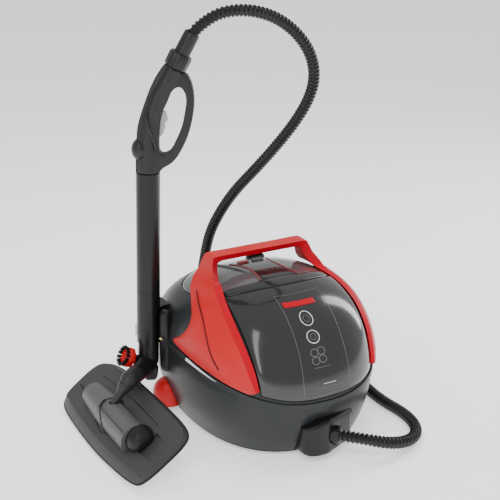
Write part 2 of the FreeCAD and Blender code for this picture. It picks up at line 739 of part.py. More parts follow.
def to_wand(point):
    return WAND.inverse().multVec(point)


def pin_radial():
    """The neck pin's direction, away from the drum's axis, in the row's axes."""
    angle = math.radians(PIN_ANGLE)
    return BRUSH.Rotation.multVec(Vector(math.sin(angle), 0, math.cos(angle)))


def pin_point():
    return brush_point(HUMP_X, PIN_Y, HUMP_Z) + pin_radial() * PIN_R


def neck_direction():
    """From the knee to the neck's pin, wand frame."""
    axis = to_wand(pin_point()) - to_wand(KNEE)
    axis.normalize()
    return axis


def elbow_body():
    """The elbow under the tube, its arm to the knee and the neck down to the brush's pin."""
    neck_end = to_wand(pin_point())
    knee = to_wand(KNEE)
    radial = WAND.inverse().Rotation.multVec(pin_radial())
    axis = neck_direction()
    reach = (neck_end - knee).Length
    spigot = rod(16.9, ELBOW_CENTRE, (TUBE_X, 0, 54))
    collar = taper(17.2, TUBE_R, ELBOW_CENTRE, (TUBE_X, 0, TUBE_BOTTOM - 0.2))
    ball = Part.makeSphere(17.2, ELBOW_CENTRE)
    arm = taper(15.5, 12.6, ELBOW_CENTRE, knee)
    knuckle = Part.makeSphere(12.6, knee)
    cone = taper(12.2, 5.4, knee, knee + axis * (reach - 2))
    eye = rod(6.0, neck_end - radial * 4, neck_end + radial * 4)
    hole = rod(2.56, neck_end - radial * 9, neck_end + radial * 9)
    peg = rod(6.0, ELBOW_CENTRE, PEG_START + PEG_AXIS * 10)
    elbow = fuse(spigot, collar, ball, arm, knuckle, cone, eye, peg)
    flow = rod(4.0, (TUBE_X, 0, 30), (TUBE_X, 0, 60))
    lever_gap = box(3, 40, -6.4, 6.4, -30, 8)
    pin = rod(PIVOT_R, LEVER_PIVOT - ALONG_Y * 8, LEVER_PIVOT + ALONG_Y * 8)
    return in_wand(elbow.cut(hole).cut(flow).cut(lever_gap).fuse(pin))


def round_brush():
    """The small round bristle brush, stored on the elbow's peg."""
    hub = rod(15.0, PEG_START, PEG_START + PEG_AXIS * 14)
    hub = hub.cut(rod(6.06, PEG_START - PEG_AXIS, PEG_START + PEG_AXIS * 16))
    return in_wand(hub)


def round_brush_bristles():
    tufts = []
    for i in range(12):
        tuft = taper(2.4, 2.0, Vector(12.3, 0, 14.8), Vector(15.4, 0, 22))
        tuft.Placement = Placement(Vector(), Rotation(UP, 30 * i)).multiply(tuft.Placement)
        tuft.Placement = Placement(PEG_START, Rotation(UP, PEG_AXIS)).multiply(tuft.Placement)
        tufts.append(tuft)
    return in_wand(Part.makeCompound(tufts))


def release_lever():
    outline = [(8, 3), (16, 3), (21, -8), (17, -23), (8, -26), (4.5, -20), (6, -8)]
    lever = prism([(x, -5.8, z) for x, z in outline], ALONG_Y, 11.6)
    hole = rod(PIVOT_HOLE_R, LEVER_PIVOT - ALONG_Y * 8, LEVER_PIVOT + ALONG_Y * 8)
    return in_wand(lever.cut(hole))


# ---------------------------------------------------------------- floor brush (brush frame)
def hump_axis(y):
    return Vector(HUMP_X, y, HUMP_Z)


def wedge(angle_from, angle_to, y0, y1, radius=60.0):
    """A fan about the hump's axis, angles from the plate's normal towards the machine."""
    steps = 8
    points = [hump_axis(y0)]
    for i in range(steps + 1):
        angle = math.radians(angle_from + (angle_to - angle_from) * i / steps)
        points.append(hump_axis(y0) + Vector(math.sin(angle), 0, math.cos(angle)) * radius)
    return prism([tuple(p) for p in points], ALONG_Y, y1 - y0)


def neck_sweep(radius):
    """The room that the neck's tip takes while it swivels about its pin."""
    centre = BRUSH.inverse().multVec(pin_point())
    radial = BRUSH.inverse().Rotation.multVec(pin_radial())
    axis = BRUSH.inverse().Rotation.multVec(WAND.Rotation.multVec(neck_direction()))
    rods = [rod(radius + 1.0, centre - radial * 4.5, centre + radial * 30)]
    for turn in range(-24, 33, 8):
        outward = Rotation(radial, turn).multVec(axis * -1)
        rods.append(rod(radius, centre, centre + outward * 60))
    return fuse(*rods)


def pivot_drum():
    """The drum between the neck and the brush: it holds the neck's pin."""
    y0 = HUMP_FRONT_Y + 3.0
    y1 = HUMP_SPLIT_Y - 0.4
    shell = rod(DRUM_R, hump_axis(y0), hump_axis(y1))
    shell = shell.cut(rod(DRUM_R - 2.6, hump_axis(y0 + 2.6), hump_axis(y1 - 2.6)))
    shell = shell.common(wedge(-26, 62, y0 - 1, y1 + 1))
    centre = BRUSH.inverse().multVec(pin_point())
    radial = BRUSH.inverse().Rotation.multVec(pin_radial())
    seat = rod(9.5, centre - radial * 10, centre + radial * 2.6)
    axle = rod(5.0, hump_axis(y0), hump_axis(y1))
    rib = wedge(PIN_ANGLE - 12, PIN_ANGLE + 12, PIN_Y - 9, PIN_Y + 9, 14.0)
    pin = rod(2.5, centre - radial * 8, centre + radial * 5.6)
    body = fuse(shell, seat, rib, axle).cut(neck_sweep(6.2))
    return in_brush(fuse(body, pin).common(rod(DRUM_R, hump_axis(y0), hump_axis(y1))))


def hump_cover():
    """The fixed front of the hump, which the drum turns under."""
    y0 = HUMP_FRONT_Y
    y1 = HUMP_SPLIT_Y
    shell = rod(HUMP_R, hump_axis(y0), hump_axis(y1))
    shell = shell.cut(rod(DRUM_R + 0.4, hump_axis(y0 + 2.6), hump_axis(y1 + 1)))
    shell = shell.common(wedge(-96, -20, y0 - 1, y1 + 1).fuse(wedge(-96, 62, y0 - 1, y0 + 2.5)))
    shell = shell.cut(box(-80, 80, -200, 200, -60, BRUSH_PLATE_H + 0.05))
    return in_brush(shell.cut(rod(5.06, hump_axis(y0 - 1), hump_axis(y0 + 4))))


def hump_tail():
    y0 = HUMP_SPLIT_Y
    y1 = HUMP_TAIL_Y
    outer = taper(HUMP_R, 21.0, hump_axis(y0), hump_axis(y1))
    inner = taper(HUMP_R - 2.6, 18.6, hump_axis(y0 + 2.6), hump_axis(y1 - 3))
    shell = outer.cut(inner).cut(box(-80, 80, -200, 200, -60, BRUSH_PLATE_H + 0.05))
    return in_brush(shell.cut(neck_sweep(8.0)))


def brush_plate():
    low = superellipse(BRUSH_HALF_W, BRUSH_HALF_L, 0, 0, BRUSH_POWER, 48)
    middle = superellipse(BRUSH_HALF_W, BRUSH_HALF_L, 0, 3, BRUSH_POWER, 48)
    high = superellipse(BRUSH_HALF_W - 6, BRUSH_HALF_L - 6, 0, BRUSH_PLATE_H, BRUSH_POWER, 48)
    plate = Part.makeLoft([low, middle], True, True).fuse(
        Part.makeLoft([middle, high], True, True))
    plate = plate.cut(box(-19, 23, -142, -104, 4.5, 20))
    well = rod(5.4, hump_axis(HUMP_FRONT_Y + 2.8), hump_axis(HUMP_SPLIT_Y))
    return in_brush(plate.removeSplitter().cut(well))


def cloth_frame():
    """The sprung frame under the plate that the cloth is stretched on."""
    rim = Part.Face(superellipse(BRUSH_HALF_W - 7, BRUSH_HALF_L - 7, 0, -1.6, BRUSH_POWER, 48))
    frame = rim.extrude(Vector(0, 0, 1.3))
    hole = Part.Face(superellipse(BRUSH_HALF_W - 18, BRUSH_HALF_L - 18, 0, -3, BRUSH_POWER, 48))
    frame = frame.cut(hole.extrude(Vector(0, 0, 6)))
    bar = box(-45, 45, 40, 52, -1.6, -0.3)
    return in_brush(fuse(frame, bar))


def cloth_pad():
    edge = Part.Face(superellipse(BRUSH_HALF_W - 5, BRUSH_HALF_L - 5, 0, -4.6, BRUSH_POWER, 48))
    return in_brush(edge.extrude(Vector(0, 0, 2.9)))


# ---------------------------------------------------------------- everything
def build_body():
    NODES["lower_housing"] = lower_housing()
    NODES["base_plate"] = base_plate()
    NODES["upper_housing"] = upper_housing()
    NODES["belt_trim"] = belt_trim()
    NODES["front_window"] = front_window()
    NODES["trim_band"] = trim_band()
    NODES["side_panel_left"] = side_panel(-1)
    NODES["side_panel_right"] = side_panel(1)
    NODES["accent_strips"] = compound(accent_strip(-1), accent_strip(1))
    NODES["carry_handle"] = carry_handle()
    NODES["control_panel"] = control_panel()
    NODES["power_switch"] = power_switch(SWITCH_X[0])
    NODES["boiler_switch"] = power_switch(SWITCH_X[1])
    NODES["filler_cap"] = filler_cap()
    NODES["indicator_lights"] = indicator_lights()
    NODES["socket_housing"] = socket_housing()
    NODES["steam_socket"] = steam_socket()
    NODES["hose_plug"] = hose_plug()
    NODES["wand_dock"] = wand_dock()
    castor_hoods()
    castor_parts()


def build_inside():
    NODES["boiler"] = boiler()
    NODES["heating_element"] = heating_element()
    NODES["thermostat"] = thermostat()
    NODES["water_tank"] = water_tank()
    NODES["pump"] = pump()
    NODES["solenoid_valve"] = solenoid_valve()
    NODES["control_board"] = control_board()
    NODES["inner_pipes"] = inner_pipes()
    NODES["mains_inlet"] = mains_inlet()
    NODES["housing_screws"] = housing_screws()


def build_wand():
    gun_shells()
    NODES["steam_trigger"] = steam_trigger()
    NODES["lock_button"] = lock_button()
    NODES["hose_collar"] = hose_collar()
    NODES["hose_cuff"] = hose_cuff()
    NODES["upper_tube"] = upper_tube()
    NODES["lower_tube"] = lower_tube()
    NODES["tube_latch"] = tube_latch()
    NODES["elbow_body"] = elbow_body()
    NODES["round_brush"] = round_brush()
    NODES["round_brush_bristles"] = round_brush_bristles()
    NODES["release_lever"] = release_lever()
    NODES["pivot_drum"] = pivot_drum()
    NODES["hump_cover"] = hump_cover()
    NODES["hump_tail"] = hump_tail()
    NODES["brush_plate"] = brush_plate()
    NODES["cloth_frame"] = cloth_frame()
    NODES["cloth_pad"] = cloth_pad()


def footprint_middle():
    total = FreeCAD.BoundBox()
    for shape in NODES.values():
        total.add(shape.BoundBox)
    return Vector(-total.Center.x, -total.Center.y, -total.ZMin)


def main():
    build_body()
    build_inside()
    build_wand()
    shift = footprint_middle()
    NODES["steam_hose"] = steam_hose()
    os.makedirs("parts", exist_ok=True)
    for name, shape in NODES.items():
        shape.translate(shift)
        shape.exportStep("parts/" + name + ".step")
    print("%d nodes, frame shift %.3f %.3f %.3f" % (len(NODES), shift.x, shift.y, shift.z))


main()
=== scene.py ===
"""Canister steam cleaner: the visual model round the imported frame, in metres, +Z up."""
import math

import bmesh
import bpy
from mathutils import Matrix, Vector


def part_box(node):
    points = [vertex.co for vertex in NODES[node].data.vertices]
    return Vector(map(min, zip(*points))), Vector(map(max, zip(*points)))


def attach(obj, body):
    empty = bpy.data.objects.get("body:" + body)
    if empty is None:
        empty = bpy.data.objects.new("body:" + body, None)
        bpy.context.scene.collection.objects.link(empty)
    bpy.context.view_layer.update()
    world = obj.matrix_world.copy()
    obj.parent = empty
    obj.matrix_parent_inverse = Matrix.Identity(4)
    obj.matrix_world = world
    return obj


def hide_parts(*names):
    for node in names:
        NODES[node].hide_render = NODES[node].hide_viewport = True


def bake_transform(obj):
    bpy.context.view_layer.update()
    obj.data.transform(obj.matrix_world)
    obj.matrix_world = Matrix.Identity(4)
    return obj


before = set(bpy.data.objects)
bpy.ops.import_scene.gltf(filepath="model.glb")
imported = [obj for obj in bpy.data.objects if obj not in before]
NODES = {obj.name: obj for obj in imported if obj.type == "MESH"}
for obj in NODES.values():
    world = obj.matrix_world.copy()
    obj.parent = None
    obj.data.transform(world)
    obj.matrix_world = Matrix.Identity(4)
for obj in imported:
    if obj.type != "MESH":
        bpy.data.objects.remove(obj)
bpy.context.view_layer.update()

# -------- places and sizes
MM = 0.001
plate_low, plate_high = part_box("base_plate")
MIDDLE = Vector(((plate_low.x + plate_high.x) / 2, (plate_low.y + plate_high.y) / 2, 0.0))

BODY_HALF_WIDTH = 161.0
BODY_HALF_LENGTH = 218.0
BELT_Z = 107.0
DOME_H = 151.0
FLOOR_TAPER = 0.142
PLAN_POWER = 2.4
DOME_POWER = 2.6
DOME_DRIFT = 35.0

HOSE_R = 9.5
RIB_PITCH = 7.0
RIB_STEPS = 8
RIB_HEIGHT = 1.1
RIB_MIDDLE_R = HOSE_R - 0.5
HOSE_TURNS = 18
HOSE_ROUTE = [
    (17.8, -229.9, 40.0), (42.8, -255.4, 40.0), (79.9, -270.4, 29.0), (119.8, -268.0, 19.0),
    (154.8, -248.6, 12.5), (178.0, -216.0, 10.0), (185.7, -172.7, 10.0), (179.0, -117.0, 10.0),
    (184.0, -58.0, 10.0), (199.0, 0.0, 10.0), (211.0, 60.0, 10.0), (209.0, 122.0, 10.0),
    (193.0, 180.0, 10.0), (168.0, 226.0, 10.0), (137.0, 259.0, 10.5), (104.0, 276.0, 17.0),
    (72.0, 284.0, 34.0), (46.0, 286.0, 61.0), (31.0, 282.0, 97.0), (26.0, 272.0, 143.0),
    (26.0, 256.0, 192.0), (25.0, 234.0, 240.0), (31.0, 203.0, 288.0), (43.0, 168.0, 336.0),
    (61.0, 127.0, 382.0), (80.0, 88.0, 430.0), (98.0, 56.0, 476.0), (109.0, 29.0, 520.0),
    (108.0, 8.0, 562.0), (93.0, -4.0, 602.0), (66.0, -9.0, 637.0), (31.0, -10.0, 664.0),
    (-6.0, -10.0, 679.0), (-41.0, -6.0, 684.0), (-71.0, 3.5, 679.5), (-92.9, 14.4, 664.7),
    (-107.3, 23.0, 649.0),
]

WAND = Matrix.Translation((-183.0, 65.0, 85.0)) @ (
    Matrix.Rotation(math.radians(-29.0), 4, "Z") @ Matrix.Rotation(math.radians(1.6), 4, "Y"))
BRUSH = Matrix.Translation((-263.0, -10.0, 41.5)) @ Matrix.Rotation(math.radians(-32.0), 4, "Y")
NECK_END = Vector((44.0, 0.0, 513.0))
NECK_DIR = Vector((0.45, 0.0, 0.893))
HOSE_SEAT = 31.3
CAD_SHARP_ANGLE = 32.0


def place(point):
    """Millimetres about the machine's middle, as metres in the row frame."""
    return Vector(point) * MM + MIDDLE


# -------- material tools
def node(tree, kind, **inputs):
    made = tree.nodes.new(kind)
    for key, value in inputs.items():
        made.inputs[key.replace("_", " ")].default_value = value
    return made


def ramp_between(tree, factor, low, high):
    """A colour ramp from low to high."""
    ramp = tree.nodes.new("ShaderNodeValToRGB")
    ramp.color_ramp.elements[0].color = (*low, 1.0)
    ramp.color_ramp.elements[1].color = (*high, 1.0)
    tree.links.new(factor, ramp.inputs["Fac"])
    return ramp.outputs["Color"]


def map_between(tree, factor, low, high):
    mapped = tree.nodes.new("ShaderNodeMapRange")
    mapped.inputs["To Min"].default_value = low
    mapped.inputs["To Max"].default_value = high
    tree.links.new(factor, mapped.inputs["Value"])
    return mapped.outputs["Result"]


def moulded(name, dark, light, rough=(0.3, 0.42), grain=900.0, bump=0.06, coat=0.0, metallic=0.0,
            shine=0.32):
    """Moulded plastic or painted metal: mottled colour, uneven gloss and a fine grain."""
    material = bpy.data.materials.new(name)
    material.use_nodes = True
    tree = material.node_tree
    shader = tree.nodes["Principled BSDF"]
    place_node = tree.nodes.new("ShaderNodeTexCoord")
    cloud = node(tree, "ShaderNodeTexNoise", Scale=14.0, Detail=4.0)
    fine = node(tree, "ShaderNodeTexNoise", Scale=grain, Detail=3.0)
    scuffs = node(tree, "ShaderNodeTexNoise", Scale=60.0, Detail=6.0, Roughness=0.7)
    for texture in (cloud, fine, scuffs):
        tree.links.new(place_node.outputs["Object"], texture.inputs["Vector"])
    colour = ramp_between(tree, cloud.outputs["Fac"], dark, light)
    tree.links.new(colour, shader.inputs["Base Color"])
    gloss = map_between(tree, scuffs.outputs["Fac"], *rough)
    tree.links.new(gloss, shader.inputs["Roughness"])
    relief = node(tree, "ShaderNodeBump", Strength=bump, Distance=0.0004)
    tree.links.new(fine.outputs["Fac"], relief.inputs["Height"])
    tree.links.new(relief.outputs["Normal"], shader.inputs["Normal"])
    shader.inputs["Metallic"].default_value = metallic
    shader.inputs["Specular IOR Level"].default_value = 0.5 if metallic else shine
    shader.inputs["Coat Weight"].default_value = coat
    shader.inputs["Coat Roughness"].default_value = 0.08
    return material


CHARCOAL = moulded("charcoal_plastic", (0.015, 0.017, 0.018), (0.022, 0.024, 0.026),
                   rough=(0.30, 0.40), coat=0.06, shine=0.24)
DOME = moulded("dome_plastic", (0.055, 0.058, 0.060), (0.075, 0.078, 0.081), rough=(0.10, 0.18),
               bump=0.015, coat=0.6)
RED = moulded("red_plastic", (0.46, 0.006, 0.008), (0.54, 0.012, 0.012), rough=(0.34, 0.44),
              grain=1300.0, bump=0.04)
# A darker, less glossy red with two uses: the crimson print bar on the window, and painted shade on the
# red bow's front faces.
CRIMSON_PRINT_AND_SHADED_RED = moulded("crimson_print_and_shaded_red", (0.42, 0.0, 0.010), (0.48, 0.001, 0.014),
                  rough=(0.40, 0.50), grain=1300.0, bump=0.04, shine=0.12)
DUSKY_RED = moulded("dusky_red_trim", (0.16, 0.018, 0.022), (0.22, 0.028, 0.030),
                    rough=(0.2, 0.3), coat=0.3)
WINDOW = moulded("smoked_window", (0.011, 0.0115, 0.012), (0.017, 0.0175, 0.018),
                 rough=(0.16, 0.22), bump=0.006, coat=0.7)
PRINT = moulded("grey_print", (0.10, 0.10, 0.10), (0.14, 0.14, 0.14), rough=(0.25, 0.3))
BLACK = moulded("black_plastic", (0.006, 0.006, 0.007), (0.011, 0.011, 0.012), rough=(0.32, 0.48))
GLOSS_BLACK = moulded("gloss_black", (0.007, 0.007, 0.008), (0.011, 0.011, 0.012),
                      rough=(0.12, 0.2), bump=0.015, coat=0.5)
SATIN_BLACK = moulded("satin_black_tube", (0.0035, 0.0035, 0.004), (0.0065, 0.0065, 0.007),
                      rough=(0.26, 0.34), bump=0.03)
DARK_GREY = moulded("dark_grey_plastic", (0.019, 0.020, 0.021), (0.028, 0.029, 0.030),
                    rough=(0.36, 0.48), grain=1100.0, bump=0.10)
PLATE_GREY = moulded("plate_grey_plastic", (0.030, 0.031, 0.032), (0.043, 0.044, 0.045),
                     rough=(0.36, 0.48), grain=1100.0, bump=0.10)
GUN_GREY = moulded("gun_grey_plastic", (0.010, 0.0105, 0.011), (0.016, 0.0165, 0.017),
                   rough=(0.30, 0.42), grain=1200.0, bump=0.08)
MID_GREY = moulded("mid_grey_plastic", (0.066, 0.066, 0.066), (0.088, 0.088, 0.088),
                   rough=(0.34, 0.48), grain=1100.0, bump=0.10)
PALE = moulded("pale_plastic", (0.24, 0.245, 0.25), (0.32, 0.325, 0.33), rough=(0.22, 0.32))
WHITE = moulded("white_plastic", (0.72, 0.73, 0.73), (0.80, 0.80, 0.80), rough=(0.3, 0.4))
RIBBED = moulded("ribbed_hose", (0.005, 0.005, 0.006), (0.011, 0.011, 0.012), rough=(0.22, 0.34),
                 bump=0.02)
TYRE = moulded("castor_tread", (0.010, 0.010, 0.010), (0.018, 0.018, 0.018), rough=(0.6, 0.75))
STEEL = moulded("bare_steel", (0.45, 0.45, 0.46), (0.60, 0.60, 0.61), rough=(0.25, 0.4),
                metallic=1.0)
BRASS = moulded("brass", (0.62, 0.44, 0.18), (0.75, 0.56, 0.26), rough=(0.25, 0.4), metallic=1.0)
CAST = moulded("cast_metal", (0.40, 0.40, 0.41), (0.52, 0.52, 0.53), rough=(0.4, 0.55),
               grain=500.0, bump=0.3, metallic=1.0)
BOARD = moulded("circuit_board", (0.01, 0.10, 0.03), (0.02, 0.16, 0.05))
BRISTLE = moulded("nylon_bristle", (0.006, 0.006, 0.006), (0.014, 0.014, 0.014),
                  rough=(0.4, 0.5), grain=2500.0, bump=0.4)
CLOTH = moulded("microfibre_cloth", (0.62, 0.62, 0.60), (0.78, 0.78, 0.75), rough=(0.85, 0.95),
                grain=650.0, bump=0.9)

CAD_FINISH = {
    "accent_strips": WHITE, "base_plate": BLACK, "belt_trim": CHARCOAL, "boiler": CAST,
    "boiler_switch": MID_GREY, "brush_plate": PLATE_GREY, "carry_handle": RED,
    "cloth_frame": BLACK, "cloth_pad": CLOTH, "control_board": BOARD, "control_panel": BLACK,
    "elbow_body": BLACK, "filler_cap": BLACK, "front_window": WINDOW, "gun_shell_left": GUN_GREY,
    "gun_shell_right": GUN_GREY, "heating_element": STEEL, "hose_collar": GUN_GREY,
    "hose_cuff": GUN_GREY, "hose_plug": BLACK, "housing_screws": STEEL, "hump_cover": MID_GREY,
    "hump_tail": MID_GREY, "indicator_lights": DUSKY_RED, "inner_pipes": BRASS,
    "lock_button": GUN_GREY, "lower_housing": CHARCOAL, "lower_tube": SATIN_BLACK,
    "mains_inlet": BLACK, "pivot_drum": MID_GREY, "power_switch": DUSKY_RED, "pump": BLACK,
    "release_lever": BLACK, "round_brush": RED, "round_brush_bristles": BRISTLE,
    "side_panel_left": RED, "side_panel_right": RED, "socket_housing": SATIN_BLACK,
    "solenoid_valve": BRASS, "steam_socket": BRASS, "steam_trigger": PALE, "thermostat": BRASS,
    "trim_band": GLOSS_BLACK, "tube_latch": WHITE, "upper_housing": CHARCOAL, "upper_tube": SATIN_BLACK,
    "wand_dock": BLACK, "water_tank": PALE,
    "castor_hood_rear_left": RED, "castor_hood_rear_right": RED,
}
for corner in ("front_left", "front_right", "rear_left", "rear_right"):
    CAD_FINISH["castor_fork_" + corner] = BLACK
    CAD_FINISH["castor_wheel_" + corner] = TYRE


def finish_cad_nodes():
    for name, material in CAD_FINISH.items():
        mesh = NODES[name].data
        mesh.materials.clear()
        mesh.materials.append(material)
        mesh.polygons.foreach_set("use_smooth", [True] * len(mesh.polygons))
        mesh.set_sharp_from_angle(angle=math.radians(CAD_SHARP_ANGLE))


# -------- mesh tools
def new_piece(name, verts, faces, material, body, sharp=35.0):
    """A mesh object from verts in millimetres, smooth except at sharp edges."""
    mesh = bpy.data.meshes.new(name)
    mesh.from_pydata([place(v) for v in verts], [], faces)
    mesh.materials.append(material)
    piece = bpy.data.objects.new(name, mesh)
    bpy.context.scene.collection.objects.link(piece)
    tidy = bmesh.new()
    tidy.from_mesh(mesh)
    bmesh.ops.recalc_face_normals(tidy, faces=tidy.faces)
    tidy.to_mesh(mesh)
    tidy.free()
    mesh.polygons.foreach_set("use_smooth", [True] * len(mesh.polygons))
    mesh.set_sharp_from_angle(angle=math.radians(sharp))
    if body:
        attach(piece, body)
    return piece


def sweep(path, rings, turns):
    """Closed tube: rings gives each path point's radius, turns the points round it."""
    verts = []
    faces = []
    side = Vector((0, 0, 1)).cross(path[1] - path[0]).normalized()
    for i, point in enumerate(path):
        ahead = (path[min(i + 1, len(path) - 1)] - path[max(i - 1, 0)]).normalized()
        side = (side - ahead * side.dot(ahead)).normalized()
        other = ahead.cross(side)
        for k in range(turns):
            angle = 2 * math.pi * k / turns
            verts.append(point + (side * math.cos(angle) + other * math.sin(angle)) * rings[i])
    for i in range(len(path) - 1):
        for k in range(turns):
            after = (k + 1) % turns
            faces.append((i * turns + k, i * turns + after,
                          (i + 1) * turns + after, (i + 1) * turns + k))
    faces.append(tuple(range(turns)))
    faces.append(tuple(reversed(range(len(verts) - turns, len(verts)))))
    return verts, faces


# -------- hose
def hose_line():
    """Points along the route's smooth line, in millimetres about the machine's middle."""
    curve = bpy.data.curves.new("hose_route", "CURVE")
    curve.dimensions = "3D"
    curve.resolution_u = 24
    end = WAND @ (NECK_END + NECK_DIR * HOSE_SEAT)
    points = [Vector(p) for p in HOSE_ROUTE] + [end]
    spline = curve.splines.new("NURBS")
    spline.points.add(len(points) - 1)
    for spot, point in zip(spline.points, points):
        spot.co = (*point, 1.0)
    spline.order_u = 3
    spline.use_endpoint_u = True
    guide = bpy.data.objects.new("hose_route", curve)
    bpy.context.scene.collection.objects.link(guide)
    mesh = bpy.data.meshes.new_from_object(guide)
    line = [v.co.copy() for v in mesh.vertices]
    bpy.data.objects.remove(guide)
    bpy.data.meshes.remove(mesh)
    return line


def even_steps(line, step):
    """The same line as points a fixed step apart, with their distances."""
    points = [line[0]]
    distances = [0.0]
    travelled = 0.0
    due = step
    for a, b in zip(line[:-1], line[1:]):
        span = (b - a).length
        while travelled + span >= due:
            points.append(a.lerp(b, (due - travelled) / span))
            distances.append(due)
            due += step
        travelled += span
    return points, distances


def steam_hose():
    line = hose_line()
    points, distances = even_steps(line, RIB_PITCH / RIB_STEPS)
    rings = []
    for distance in distances:
        wave = math.cos(2 * math.pi * distance / RIB_PITCH)
        rings.append(RIB_MIDDLE_R + RIB_HEIGHT * math.copysign(abs(wave) ** 0.6, wave))
    verts, faces = sweep(points, rings, HOSE_TURNS)
    hose = new_piece("steam_hose_ribbed", verts, faces, RIBBED, None, sharp=60)
    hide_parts("steam_hose")
    return hose, [place(p) for p in points[::RIB_STEPS]]


hose, hose_path = steam_hose()
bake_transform(hose)

finish_cad_nodes()


# -------- the body's form, in millimetres
def half_width(z):
    if z < BELT_Z:
        return BODY_HALF_WIDTH * (1 - FLOOR_TAPER * ((BELT_Z - z) / BELT_Z) ** 2)
    rise = min(0.9999, (z - BELT_Z) / DOME_H)
    return BODY_HALF_WIDTH * (1 - rise ** DOME_POWER) ** (1 / DOME_POWER)


def half_length(z):
    if z < BELT_Z:
        return BODY_HALF_LENGTH * (1 - FLOOR_TAPER * ((BELT_Z - z) / BELT_Z) ** 2)
    rise = min(0.9999, (z - BELT_Z) / DOME_H)
    return BODY_HALF_LENGTH * math.sqrt(1 - rise ** 2)


def centre_y(z):
    rise = max(0.0, (z - BELT_Z) / DOME_H)
    return -DOME_DRIFT * rise ** 2.5


def form(p):
    """Below zero inside the body, zero on its surface."""
    x = abs(p.x / half_width(p.z))
    y = abs((p.y - centre_y(p.z)) / half_length(p.z))
    return (x ** PLAN_POWER + y ** PLAN_POWER) ** (1 / PLAN_POWER) - 1


def slope(p):
    e = 0.2
    axes = (Vector((e, 0, 0)), Vector((0, e, 0)), Vector((0, 0, e)))
    return Vector([(form(p + a) - form(p - a)) / (2 * e) for a in axes])


def hug(p, lift):
    """The point of the body's surface nearest to p, moved out by lift."""
    p = Vector(p)
    for _ in range(8):
        fall = slope(p)
        p = p - fall * (form(p) / fall.length_squared)
    return p + slope(p).normalized() * lift


def front_point(x, z, lift):
    """On the body's front at this x and height, moved out by lift."""
    share = min(0.9995, abs(x) / half_width(z)) ** PLAN_POWER
    y = centre_y(z) - half_length(z) * (1 - share) ** (1 / PLAN_POWER)
    point = Vector((x, y, z))
    return point + slope(point).normalized() * lift


def crown_point(x, y, lift):
    """On top of the body at this x and y, moved out by lift."""
    low = BELT_Z
    high = BELT_Z + DOME_H - 0.01
    for _ in range(40):
        middle = (low + high) / 2
        if form(Vector((x, y, middle))) < 0:
            low = middle
        else:
            high = middle
    point = Vector((x, y, low))
    return point + slope(point).normalized() * lift


SEAM_Z = 138.0
SEAM_DROP = 40.0
SEAM_START_Y = -20.0
SEAM_LENGTH = 200.0


def seam_z(y):
    """Height of the seam under the red panels, which falls towards the nose."""
    share = min(1.0, max(0.0, (SEAM_START_Y - y) / SEAM_LENGTH))
    return SEAM_Z - SEAM_DROP * share ** 1.6


def through(points, count):
    """A smooth line through the points, as count + 1 points."""
    points = [Vector(p) for p in points]
    ends = [points[0] * 2 - points[1]] + points + [points[-1] * 2 - points[-2]]
    spans = len(points) - 1
    line = []
    for i in range(count + 1):
        t = i / count * spans
        k = min(int(t), spans - 1)
        t -= k
        a, b, c, d = ends[k:k + 4]
        line.append(0.5 * ((2 * b) + (c - a) * t + (2 * a - 5 * b + 4 * c - d) * t ** 2
                           + (3 * b - a - 3 * c + d) * t ** 3))
    return line


def grid_faces(rows, columns, closed=False):
    faces = []
    for i in range(rows - 1):
        for k in range(columns if closed else columns - 1):
            after = (k + 1) % columns
            faces.append((i * columns + k, i * columns + after,
                          (i + 1) * columns + after, (i + 1) * columns + k))
    return faces


def soften(piece, width, segments=3, angle=40.0):
    """Rounds a piece's sharp edges; width in millimetres."""
    bevel = piece.modifiers.new("rounded_edges", "BEVEL")
    bevel.width = width * MM
    bevel.segments = segments
    bevel.limit_method = "ANGLE"
    bevel.angle_limit = math.radians(angle)
    bevel.use_clamp_overlap = True
    bevel.harden_normals = True
    return piece


# -------- red bow and side panels
# Stations from the bar's middle down to the left panel's front tip.  Each has the bow's inner
# front edge, its outer front crease, its outer rear edge and its inner rear edge.
BOW = [
    ((0, 0, 277), (0, -4, 287), (0, 22, 288), (0, 20, 277)),
    ((-50, 0, 277), (-50, -4, 287), (-50, 22, 288), (-50, 20, 277)),
    ((-77, -1, 276), (-86, -5, 287), (-86, 22, 288), (-77, 20, 275)),
    ((-82, -4, 267), (-92, -7, 281), (-93, 26, 280), (-83, 25, 265)),
    ((-85, -11, 258), (-96, -13, 269), (-99, 31, 261), (-89, 31, 253)),
    ((-88, -21, 252), (-100, -23, 261), (-107, 34, 249), (-97, 34, 242)),
]
# On the body: window side edge, crease and outer rear edge, which the surface then carries.
PANEL_FRONT = [(-92, -40, 246), (-102, -70, 239), (-108, -104, 224), (-110, -137, 202),
               (-109, -162, 177), (-108, -178, 154), (-106, -187, 128)]
PANEL_CREASE = [(-106, -42, 249), (-113, -68, 238), (-118, -101, 220), (-120, -133, 199),
                (-119, -158, 175), (-116, -174, 150), (-110, -185, 126)]
PANEL_REAR = [(-119, 24, 235), (-132, -3, 224), (-143, -30, 206), (-150, -34, 186),
              (-157, -20, 168), (-163, 0, 153), (-161, -60, 145), (-152, -105, 138),
              (-138, -143, 129), (-119, -176, 121)]
PANEL_LIFT = 8.0
PANEL_RIM_LIFT = 5.0
PANEL_EDGE_LIFT = 3.6
PANEL_BACK_LIFT = 0.3
PANEL_BULGE = 2.2
BOW_ROWS = 76
ARM_ROWS = 22
SETTLE_ROWS = 12.0
BOW_ACROSS = 14


def eased(share):
    share = min(1.0, max(0.0, share))
    return share * share * (3 - 2 * share)


def bow_rails():
    """The four rails of half the bow, each a list of points down the arm and then the panel."""
    rails = [[station[k] for station in BOW] for k in range(4)]
    tails = [PANEL_FRONT, PANEL_CREASE, PANEL_REAR, PANEL_REAR]
    full = []
    for rail, tail in zip(rails, tails):
        arm = through(rail, ARM_ROWS)
        panel = through([rail[-1]] + tail, BOW_ROWS - ARM_ROWS)
        full.append(arm + panel[1:])
    return full


